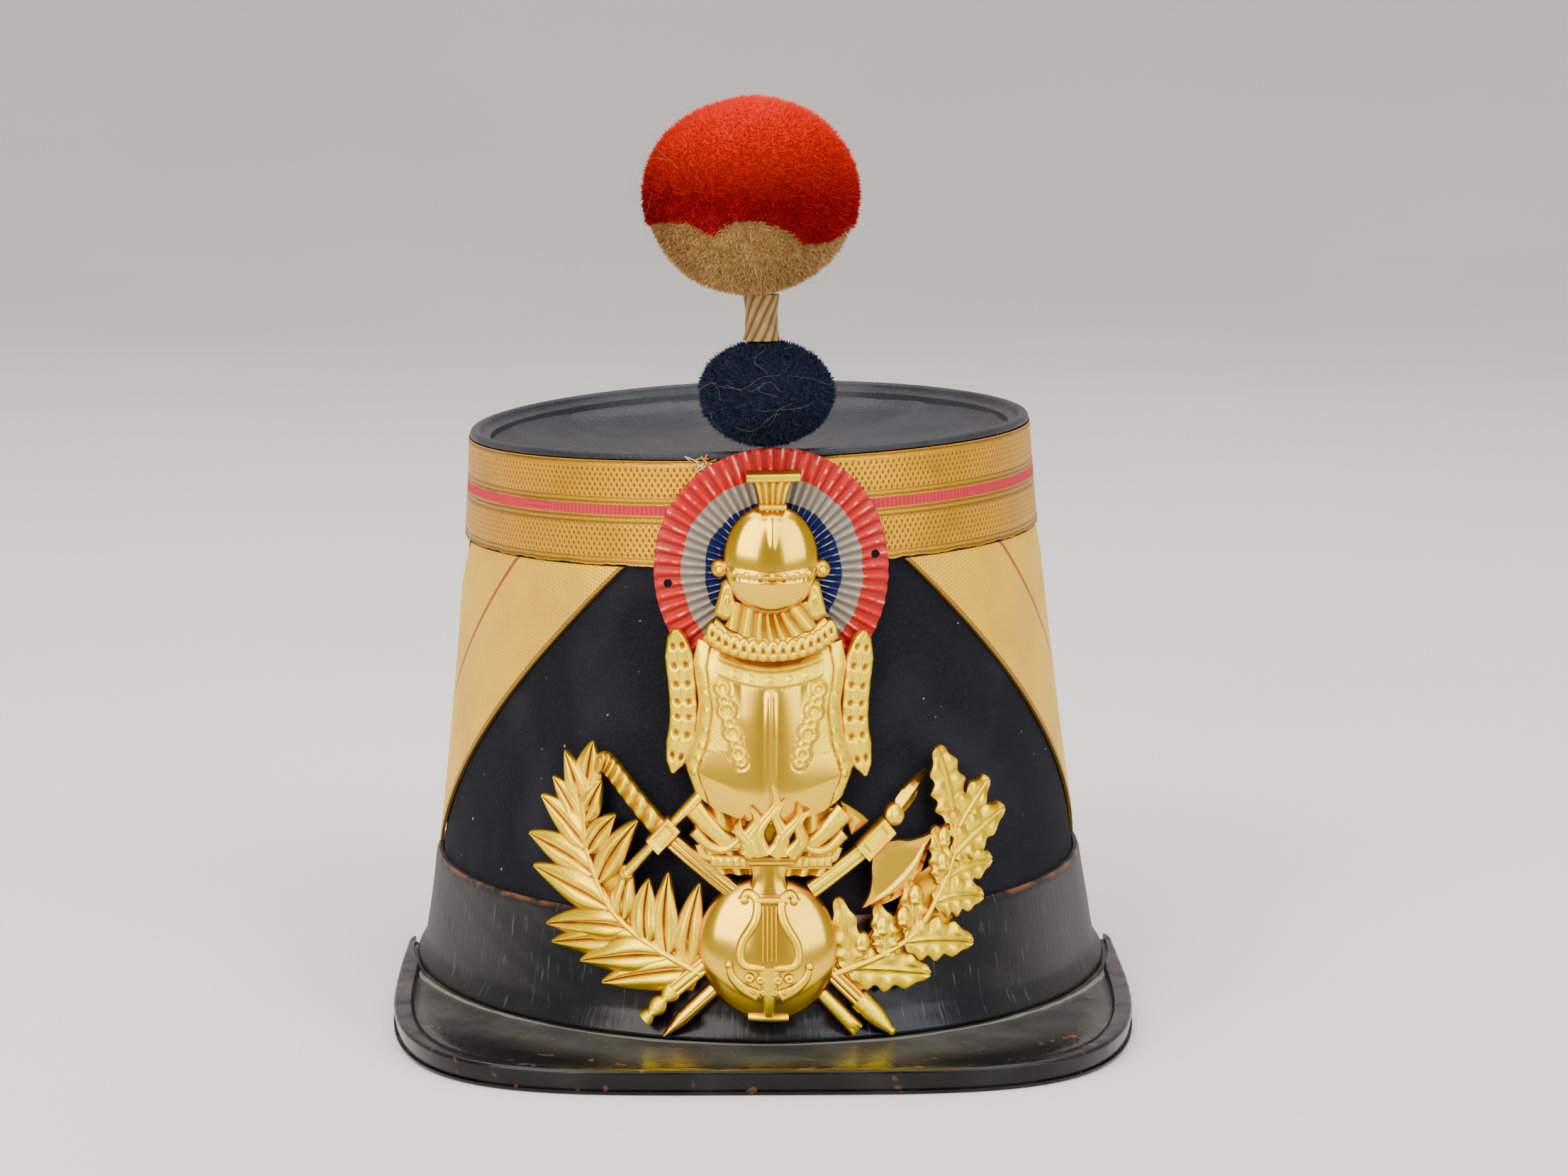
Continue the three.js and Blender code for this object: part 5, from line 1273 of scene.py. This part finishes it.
def stamp_breastplate(plate):
    """The breastplate: bordered, riveted, chased with two chains and burnished."""
    v = np.linspace(0, 1, 118)[:, None]
    u = np.linspace(-1, 1, 131)[None, :]
    wide = np.interp(v, (0, 0.2, 0.4, 0.6, 0.85, 1), (17.5, 20.4, 17.9, 17.0, 18.4, 17.2))
    low = np.interp(np.abs(u), (0, 0.35, 0.75, 1), (56.2, 56.8, 59.2, 62.4))
    high = np.interp(np.abs(u), (0, 0.38, 0.72, 1), (92.4, 93.4, 97.2, 98.6))
    right = u * wide
    up = low + (high - low) * v
    side = np.abs(right)
    chest = 1 - np.abs(2 * v - 0.92) ** 4 * 0.6
    level = 2.0 + 4.6 * np.sqrt(np.maximum(0, 1 - np.abs(u) ** 2.4)) * chest
    keel = np.exp(-(right / 0.8) ** 2) * smooth(up, 58, 64) * smooth(87.8 - up, 0, 2)
    level = level + 0.8 * keel + 0.5 * np.exp(-(right / 5.0) ** 2)
    chain, rings = np.full(right.shape, 99.0), np.full(right.shape, 99.0)
    for (x, y), radius in SCROLL:
        away = np.hypot(side - x, up - y)
        chain = np.minimum(chain, away - radius)
        rings = np.minimum(rings, np.abs(away - radius))
    arm_line = side - (wide - 3.4)
    drop = up - 0.018 * right ** 2
    neck_line = np.minimum(np.abs(drop - 88.0), np.abs(drop - 91.6)) + 9 * (side > 12.4)
    lines = np.minimum(np.minimum(np.abs(arm_line), np.abs(chain - 0.8)), neck_line)
    rivets = np.zeros(right.shape)
    for x, y in (*ARM_RIVETS, (0.0, 89.8), (4.2, 90.1), (8.2, 91.0)):
        rivets = np.maximum(rivets, np.maximum(0, 1 - ((side - x - 0.3) ** 2 + (up - y) ** 2) / 0.55))
    grain = 0.08 * np.sin(right * 6.1) * np.sin(up * 6.3)
    scroll_side = np.interp(up, (70, 75, 79, 84, 88), (6.7, 7.9, 9.2, 10.5, 11.2))
    reach = np.where(up > 73, scroll_side - 2.1, wide - 3.6)
    bright = smooth(reach - side, -0.12, 0.12) * smooth(87.8 - drop, 0, 0.2) * smooth(chain, 0.9, 1.1)
    collar = 0.35 * smooth(drop, 87.8, 88.2) * (side < 12.4)
    level = (level + 0.4 * smooth(arm_line, 0, 0.5) + 0.55 * smooth(0.55 - rings, 0, 0.4)
             + 0.5 * rivets ** 0.5 + collar + grain * (1 - bright) - 0.18 * (1 - smooth(lines, 0, 0.4)))
    # painted shade in the chased lines, round the edge, in the rings and along the keel
    dark = np.maximum.reduce([0.7 * np.exp(-(lines / 0.3) ** 2), 0.6 * smooth(side, wide - 0.6, wide),
                              0.5 * (1 - smooth(np.abs(rings - 0.6), 0, 0.35)) * (chain < 0.8),
                              0.9 * np.exp(-(right / 0.28) ** 2) * (keel > 0.2)])
    plate.panel(np.stack([right, up], axis=-1), level, dark, bright)


def stamp_armour(plate):
    """The breastplate with its hem, folds, shoulder wings and gorget."""
    stamp_breastplate(plate)
    hem = np.stack(np.meshgrid(np.linspace(-1, 1, 80), np.linspace(43.8, 59.5, 24)), axis=-1)
    reach = np.interp(hem[..., 1], (43.6, 46.6, 52.5, 60), (12.4, 14.6, 17.4, 18.4))
    folds = np.cos(hem[..., 0] * 21 + 0.12 * (hem[..., 1] - 50)) * smooth(np.abs(hem[..., 0]), 0.15, 0.4)
    hem[..., 0] *= reach
    plate.panel(hem, 2.6 + 0.7 * folds, 0.5 - 0.45 * folds)
    for side in (-1, 1):
        fold = curve(mirrored(side, [(17.8, 58.8), (13.5, 54.4), (9, 51.2), (4.4, 51.4)]), 40)
        plate.strip(fold, lambda t: 2.9 - 1.4 * t, lambda s, t: rounded(s, 2.2, 4.8), 11)
        curl = curve(mirrored(side, [(17.8, 53.6), (14, 50.3), (10.4, 49.8), (6.8, 52.8),
                                     (8.6, 54.4)]), 44)
        plate.strip(curl, lambda t: 1.6 - 0.8 * t, lambda s, t: rounded(s, 2.4, 5.0), 11)
        drop = curve(mirrored(side, [(16.4, 50.5), (15.2, 47.8), (12.4, 47.2)]), 20)
        plate.strip(drop, lambda t: 1.3 - 0.5 * t, 3.6)
        wing = curve(mirrored(side, [(22.6, 100.6), (21.4, 92), (20.6, 84), (20.8, 77),
                                     (23.0, 67.0)]), 96)

        def dents(s, t):
            row = smooth(np.abs(2 * ((t * 7.5 + 0.2) % 1.0) - 1), 0.45, 0.95)
            return row * np.exp(-((np.abs(s) - 0.42) / 0.22) ** 2)

        def wing_high(s, t):
            furrow = 0.3 * np.exp(-(s / 0.12) ** 2)
            scallop = 0.25 * np.cos(15 * math.pi * t) * np.abs(s)
            return rounded(s, 2.2, 4.2, 2.4) - 1.1 * dents(s, t) - furrow + scallop

        plate.strip(wing, lambda t: np.interp(t, *WING_WIDTHS), wing_high, 23, dents)

    def bead(s, t):
        return rounded(s, 2.8, 3.8, 4) + 0.5 * np.abs(np.sin(16 * math.pi * t)) * (np.abs(s) < 0.55)

    plate.strip(straight((-13.8, 46.7), (14.8, 47.1), 70), 1.7, bead, 11,
                lambda s, t: 0.6 * (1 - np.abs(np.sin(16 * math.pi * t))) * (np.abs(s) < 0.7) + 0 * s)
    plate.strip(straight((-4.8, 47.5), (5.4, 47.7), 16), 1.35,
                lambda s, t: rounded(s, 4.6, 5.8) + 0 * t, 11, shine=BRIGHT)
    plate.strip(straight((0, 40), (0, 47.4), 14), lambda t: 5.8 - 1.4 * np.sin(math.pi * t),
                lambda s, t: rounded(s, 2.0, 5.4) + 0 * t, 17, shine=BRIGHT)
    gorget = curve([(-14.4, 101.2), (-10.6, 98.6), (-5.4, 97.2), (0.2, 96.8), (5.8, 97.4), (10.8, 99.2),
                    (14.4, 101.8)], 60)
    plate.strip(gorget, 3.1, lambda s, t: rounded(s, 3.6, 5.4) + 0 * t, 13)
    throat = curve([(-9.4, 105.0), (-4, 102.6), (0, 102.0), (4, 102.8), (9.4, 105.2)], 70)
    plate.strip(throat, 3.2, lambda s, t: 5.0 + 0.45 * np.sin(44 * t + 1.5 * s) + 0 * s, 15,
                lambda s, t: 0.4 - 0.4 * np.sin(44 * t + 1.5 * s) + 0 * s)

    def bulge(share, way):
        return 5.9 + 0.75 * np.sin(math.pi * np.clip(share * 1.15 - 0.15, 0, 1)) + 0.15 * np.cos(2 * way)

    for spot in gorget[2::4] - (0, 0.3):
        plate.boss(oval(spot, 1.55, 2.5, 20), spot, bulge, 9,
                   lambda s, a: 0.85 * np.maximum(smooth(0.35 - s, 0, 0.2), smooth(s, 0.86, 1)) + 0 * a)


def stamp_helmet(plate):
    """A closed helmet: round skull, riveted brow, plain beaked visor and flared cheek guards."""
    middle = (0.0, 117.4)

    def place(share, way):
        reach = share / np.hypot(np.cos(way) / 11.1, np.sin(way) / 13.0)
        return reach * np.cos(way), middle[1] + reach * np.sin(way)

    def high(share, way):
        x, y = place(share, way)
        seam = y - 113.4 - 0.006 * x * x
        jaw = 0.75 * smooth(-seam, 0.0, 0.5) * (1 - 0.25 * share ** 4)
        comb = 0.35 * np.exp(-(x / 0.6) ** 2) * smooth(y, 119, 124)
        return rounded(share, 3.0, 8.8) + jaw + comb + 0.45 * bump(seam, 1.0, 0.9)

    def recess(share, way):
        x, y = place(share, way)
        slit = np.exp(-((y - 113.55 - 0.006 * x * x) / 0.22) ** 2)
        return np.maximum(0.85 * slit, 0.6 * smooth(share, 0.95, 1))

    for side in (-1, 1):
        guard = [(9.2, 113.8), (11.4, 112.4), (12.4, 108.4), (13.3, 104.7), (11.0, 103.2), (8.0, 103.4),
                 (6.8, 104.6), (8.4, 109.0)]
        guard = mirrored(side, guard)
        plate.boss(guard, (side * 10.2, 107.6),
                   lambda s, a: 3.6 + 1.6 * (1 - s) + 0.3 * np.cos(9 * s) + 0 * a, 12)
    plate.boss(oval(middle, 11.1, 13.0, 96), middle, high, 64, recess, shine=BRIGHT)
    for side in (-1, 1):
        plate.knob((side * 12.0, 115.3), 2.1, 4.6, sides=20)
        plate.knob((side * 12.2, 115.3), 1.1, 5.6, sides=16)
    for x in (-8.6, -5.8, -2.9, 0.0, 2.9, 5.8, 8.6):
        y = 114.5 + 0.006 * x * x
        far = math.hypot(x / 11.1, (y - middle[1]) / 13.0)
        plate.knob((x, y), 0.8, 3.0 + 5.8 * math.sqrt(1 - far * far) + 1.2)
    plate.strip(straight((0, 127.4), (0.2, 136.8), 40), lambda t: 2.8 + 2.1 * t * t,
                lambda s, t: rounded(s, 3.8, 5.6) + 0.35 * np.cos(15 * s) * smooth(t, 0.1, 0.3), 31,
                lambda s, t: 0.4 - 0.4 * np.cos(15 * s) * smooth(t, 0.1, 0.3))
    plate.strip(straight((-6.0, 137.1), (6.4, 137.3), 24), 1.2,
                lambda s, t: rounded(s, 5.4, 7.0, 3) + 0 * t, 9)
    plate.strip(straight((-3.0, 130.3), (3.2, 130.3), 14), 0.7,
                lambda s, t: rounded(s, 6.2, 7.2) + 0 * t, 7)


FLAMES = [              # right of the root, tip, sway to one side
    (-3.6, (-4.6, 60.6), -1.3), (-1.6, (0.2, 66.4), -1.7), (0.8, (3.6, 62.6), 1.4),
    (2.6, (6.6, 61.6), -1.2), (4.6, (9.2, 60.0), 1.2), (-5.0, (-6.8, 57.2), 0.9),
]


def stamp_flames(plate):
    """The flames that rise from the ball."""
    for root, tip, sway in FLAMES:
        low, tip = np.array([root, 49.0]), np.array(tip)
        first, second = low + (tip - low) * 0.33, low + (tip - low) * 0.7
        path = curve([low, first + (sway, 0), second - (sway, 0), tip], 34)
        plate.strip(path, lambda t: 0.12 + 2.1 * np.abs(1 - t) ** 0.6,
                    lambda s, t: rounded(s, 5.2 + 1.4 * t, 7.2 + t) - 0.35 * np.exp(-(s / 0.2) ** 2), 11)


LYRE_ARM = [(6.7, 38.2), (4.9, 40.0), (2.9, 38.4), (3.3, 34.2), (6.5, 28.4), (6.0, 24.0), (1.2, 23.2)]


def stamp_ball(plate):
    """The burnished ball with its lyre."""
    radius = 16.7

    def swell(share):
        return 1.2 + 6.2 * np.sqrt(np.maximum(0, 1 - share ** 2))

    def dome(x, y):
        return swell(np.hypot(x, y - BALL_UP) / radius)

    plate.boss(oval((0, BALL_UP), radius, radius, 96), (0, BALL_UP),
               lambda s, a: swell(s) + 0 * a, 30, shine=BRIGHT)

    def over(path, extra):
        path = np.asarray(path)
        return lambda s, t: rounded(s, 0.2, extra) + dome(path[:, 0], path[:, 1])[:, None]

    for side in (-1, 1):
        arm = curve(mirrored(side, LYRE_ARM), 70)
        plate.strip(arm, lambda t: 0.85 + 0.25 * np.sin(math.pi * t), over(arm, 1.2), 9)
        scroll = curve(mirrored(side, [(9.4, 23.8), (8.6, 21.0), (6.2, 18.6), (2.6, 16.8)]), 34)
        plate.strip(scroll, lambda t: 0.7 + 1.0 * t, over(scroll, 1.1), 9)
        plate.knob((side * 9.4, 23.6), 1.0, float(dome(9.4, 23.6)) + 1.3)
        plate.knob((side * 5.9, 38.6), 1.1, float(dome(5.9, 38.6)) + 1.4)
        for x, y, wide in ((2.0, 20.6, 1.2), (4.6, 20.9, 1.3), (1.3, 17.6, 1.0), (3.6, 17.9, 0.9)):
            spot = (side * x, y)
            rise = float(dome(x, y)) + 0.5
            plate.boss(oval(spot, wide, wide, 16), spot,
                       lambda s, a, rise=rise: rise + 0.7 * np.sin(math.pi * np.clip(s, 0, 1)) + 0 * a, 8,
                       lambda s, a: 0.7 * np.maximum(smooth(0.3 - s, 0, 0.2), smooth(s, 0.85, 1)) + 0 * a)
    bar = straight((-3.4, 38.5), (4.2, 38.7), 14)
    plate.strip(bar, 0.8, over(bar, 1.3), 7)
    for x in (-1.5, -0.5, 0.5, 1.5):
        string = straight((x, 25.2), (x, 37.6), 20)
        plate.strip(string, 0.26, over(string, 0.85), 5)
    foot = straight((0, 11.8), (0, 23.6), 26)
    plate.strip(foot, lambda t: 1.2 + 1.9 * t ** 1.5, over(foot, 1.2), 11)
    base = straight((-4.7, 11.2), (4.7, 11.2), 14)
    plate.strip(base, 0.95, over(base, 1.3), 7)


def build_emblem(wall, colours):
    """The whole stamped plate."""
    plate = Stamping(wall)
    for stamp in (stamp_laurel, stamp_oak, stamp_sabre, stamp_axe, stamp_armour, stamp_helmet,
                  stamp_flames, stamp_ball):
        stamp(plate)
    thing = plate.piece.make("front_emblem", [stamped_brass(colours)])
    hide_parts("emblem")
    return [thing]


# Stage

def build_floor():
    """A wide pale floor that curves up far away on every side, with no corner to see."""
    floor = Piece()
    turns = np.linspace(0, 2 * math.pi, 144, endpoint=False)
    bend = np.linspace(0, math.pi / 2, 24)
    flat, arc, tall, thick = 2000.0, 1800.0, 3600.0, 60.0
    rim = flat + arc
    inside = [(flat + arc * math.sin(t), arc * (1 - math.cos(t)) - 0.05) for t in bend]
    outside = [(rim, tall), (rim + thick, tall), (rim + thick, -thick), (1.0, -thick)]
    rings = np.array([(1.0, -0.05), *inside, *outside])
    loops = np.stack([rings[:, :1] * np.cos(turns), rings[:, :1] * np.sin(turns),
                      np.broadcast_to(rings[:, 1:], (len(rings), len(turns)))], axis=-1)
    floor.loft(loops)
    material, tree, shader = new_material("paper, matt, pale grey", 0.95)
    dress(tree, shader, colour_over(tree, srgb("#D8D3CF"), srgb("#D1CDCA"), patches(tree, 400, 0.3, 0.7)))
    thing = floor.make("stage_floor", [material])
    return thing


def light(name, place, aim, width, height, power, tone):
    """An area light that looks at a point, in metres and watts."""
    lamp = bpy.data.lights.new(name, "AREA")
    lamp.shape = "RECTANGLE"
    lamp.size, lamp.size_y = width, height
    lamp.energy = power
    lamp.color = srgb(tone)[:3]
    thing = bpy.data.objects.new(name, lamp)
    way = np.array(place) - np.array(aim)
    turn = math.atan2(way[1], way[0]) + math.pi / 2
    tilt = math.atan2(math.hypot(way[0], way[1]), way[2])
    thing.location = place
    thing.rotation_euler = (tilt, 0, turn)
    bpy.context.scene.collection.objects.link(thing)


def build_world():
    """Even pale daylight from above."""
    world = bpy.data.worlds.new("studio")
    world.use_nodes = True
    tree = world.node_tree
    height = node(tree, "SeparateXYZ", {0: node(tree, "TexCoord")["Generated"]})[2]
    share = node(tree, "MapRange", {0: height, 1: -0.1, 2: 0.5})[0]
    tone = colour_over(tree, srgb("#B8B5B0"), srgb("#DCDCDC"), share)
    back = tree.nodes["Background"]
    tree.links.new(tone, back.inputs["Color"])
    back.inputs["Strength"].default_value = 1.0
    bpy.context.scene.world = world


LENS = 101.71                       # millimetres, on a frame 36 mm wide
EYE = (-49.3, -1129.7, 256.7)       # millimetres from the middle of the hat's foot
TILT_DOWN, HEADING = 7.97, -2.81    # degrees


def build_camera():
    """Stands where the hat was seen from, a little above and to the left."""
    lens = bpy.data.cameras.new("camera")
    lens.lens = LENS
    lens.sensor_width = 36.0
    thing = bpy.data.objects.new("camera", lens)
    thing.location = (np.array(EYE) + hat_middle()) * MM
    thing.rotation_mode = "XYZ"
    thing.rotation_euler = (math.radians(90 - TILT_DOWN), 0, math.radians(HEADING))
    bpy.context.scene.collection.objects.link(thing)
    bpy.context.scene.camera = thing


def build_stage(wall, colours):
    """Floor, lights and camera."""
    build_world()
    build_camera()
    aim = (0.0, 0.0, 0.1)
    light("left_front", (-1.0, -1.1, 1.1), aim, 1.5, 1.5, 42, "#FFF8EE")
    light("right_front", (1.1, -1.1, 1.0), aim, 1.5, 1.5, 28, "#F6F9FF")
    light("overhead", (0.0, 0.2, 1.8), aim, 2.2, 2.2, 54, "#FFFFFF")
    return [build_floor()]


# Properties and operators

class ShakoSizes(bpy.types.PropertyGroup):
    """The hat's main lengths."""
    body_height: size("Body height", "From the lower edge of the cloth to the rim", 140.2)
    body_half_width: size("Body half width", "At the lower edge, outside", 86.4)
    length_ratio: bpy.props.FloatProperty(
        name="Length ratio", description="Length over width of the oval", default=1.21, min=1.0)


class ShakoColours(bpy.types.PropertyGroup):
    """The colours that stand out most."""
    cloth: tint("Cloth", "Wool cloth of the body", "#17181E")
    lace: tint("Lace", "Gilt thread of the lace round the top", "#E0A200")
    chevron: tint("Chevrons", "Paler gilt thread on the sides", "#FFCC24")
    leather: tint("Leather", "Blacked leather of the top", "#2B2C2F")
    worn_edge: tint("Worn edge", "Where the black has gone from the leather", "#6B3F22")
    visor: tint("Visor", "Worn leather of the visor", "#3C3D39")
    brass: tint("Brass", "Stamped brass of the emblem", "#FFDC00")
    cockade_blue: tint("Cockade middle", "Innermost ring of the cockade", "#061A52")
    cockade_grey: tint("Cockade ring", "Middle ring of the cockade", "#8B8374")
    cockade_red: tint("Cockade edge", "Outermost ring of the cockade", "#BE0400")


def build(context, builder):
    """Runs the builder of one piece or group, with the sizes and colours of the panel."""
    scene = context.scene
    made = builder(Wall(scene.shako_sizes), scene.shako_colours)
    if not made:
        raise RuntimeError("a builder made no piece")
    return {"FINISHED"}


class SHAKO_OT_body(bpy.types.Operator):
    """Builds the cloth body and the hollow inside it"""
    bl_idname = "shako.body"
    bl_label = "Body"

    def execute(self, context):
        return build(context, build_body)


class SHAKO_OT_crown(bpy.types.Operator):
    """Builds the sunken leather top with its rolled edge"""
    bl_idname = "shako.crown"
    bl_label = "Crown"

    def execute(self, context):
        return build(context, build_crown)


class SHAKO_OT_lace(bpy.types.Operator):
    """Builds the lace round the top, with its torn threads"""
    bl_idname = "shako.lace"
    bl_label = "Top lace"

    def execute(self, context):
        return build(context, build_lace)


class SHAKO_OT_chevrons(bpy.types.Operator):
    """Builds the two V-shaped laces on the sides"""
    bl_idname = "shako.chevrons"
    bl_label = "Side chevrons"

    def execute(self, context):
        return build(context, build_chevrons)


class SHAKO_OT_band(bpy.types.Operator):
    """Builds the leather band round the foot"""
    bl_idname = "shako.band"
    bl_label = "Leather band"

    def execute(self, context):
        return build(context, build_band)


class SHAKO_OT_visor(bpy.types.Operator):
    """Builds the leather visor"""
    bl_idname = "shako.visor"
    bl_label = "Visor"

    def execute(self, context):
        return build(context, build_visor)


class SHAKO_OT_edging(bpy.types.Operator):
    """Builds the leather strip folded over the visor's edge"""
    bl_idname = "shako.edging"
    bl_label = "Visor edging"

    def execute(self, context):
        return build(context, build_binding)


class SHAKO_OT_cockade(bpy.types.Operator):
    """Builds the pleated and painted cockade"""
    bl_idname = "shako.cockade"
    bl_label = "Cockade"

    def execute(self, context):
        return build(context, build_cockade)


class SHAKO_OT_emblem(bpy.types.Operator):
    """Builds the stamped emblem with its arms, armour and branches"""
    bl_idname = "shako.emblem"
    bl_label = "Emblem"

    def execute(self, context):
        return build(context, build_emblem)


class SHAKO_OT_pompom(bpy.types.Operator):
    """Builds both wool balls, the cord between them and the wire's steel"""
    bl_idname = "shako.pompom"
    bl_label = "Pompom"

    def execute(self, context):
        return build(context, build_pompom)


class SHAKO_OT_stage(bpy.types.Operator):
    """Sets the floor, the lights, the surroundings and the camera"""
    bl_idname = "shako.stage"
    bl_label = "Stage"

    def execute(self, context):
        return build(context, build_stage)


class SHAKO_PT_panel(bpy.types.Panel):
    """The sizes, the colours and a button for each piece."""
    bl_idname = "SHAKO_PT_panel"
    bl_label = "Shako"
    bl_space_type = "VIEW_3D"
    bl_region_type = "UI"
    bl_category = "Shako"

    def draw(self, context):
        """Lists the properties, then the buttons."""
        for group in (context.scene.shako_sizes, context.scene.shako_colours):
            for name in group.__annotations__:
                self.layout.prop(group, name)
        for operator in OPERATORS:
            self.layout.operator(operator.bl_idname)


OPERATORS = [
    SHAKO_OT_body,
    SHAKO_OT_crown,
    SHAKO_OT_lace,
    SHAKO_OT_chevrons,
    SHAKO_OT_band,
    SHAKO_OT_visor,
    SHAKO_OT_edging,
    SHAKO_OT_cockade,
    SHAKO_OT_emblem,
    SHAKO_OT_pompom,
    SHAKO_OT_stage,
]
GROUPS = [ShakoSizes, ShakoColours]


def register():
    """Registers the classes and hangs the properties on the scene."""
    for kind in (*GROUPS, *OPERATORS, SHAKO_PT_panel):
        bpy.utils.register_class(kind)
    bpy.types.Scene.shako_sizes = bpy.props.PointerProperty(type=ShakoSizes)
    bpy.types.Scene.shako_colours = bpy.props.PointerProperty(type=ShakoColours)


def unregister():
    """Takes the properties and the classes out again."""
    del bpy.types.Scene.shako_colours
    del bpy.types.Scene.shako_sizes
    for kind in reversed((*GROUPS, *OPERATORS, SHAKO_PT_panel)):
        bpy.utils.unregister_class(kind)


def main():
    """Builds every piece."""
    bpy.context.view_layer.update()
    register()
    bpy.ops.shako.body()
    bpy.ops.shako.crown()
    bpy.ops.shako.lace()
    bpy.ops.shako.chevrons()
    bpy.ops.shako.band()
    bpy.ops.shako.visor()
    bpy.ops.shako.edging()
    bpy.ops.shako.cockade()
    bpy.ops.shako.emblem()
    bpy.ops.shako.pompom()
    bpy.ops.shako.stage()


if __name__ == "__main__":
    main()
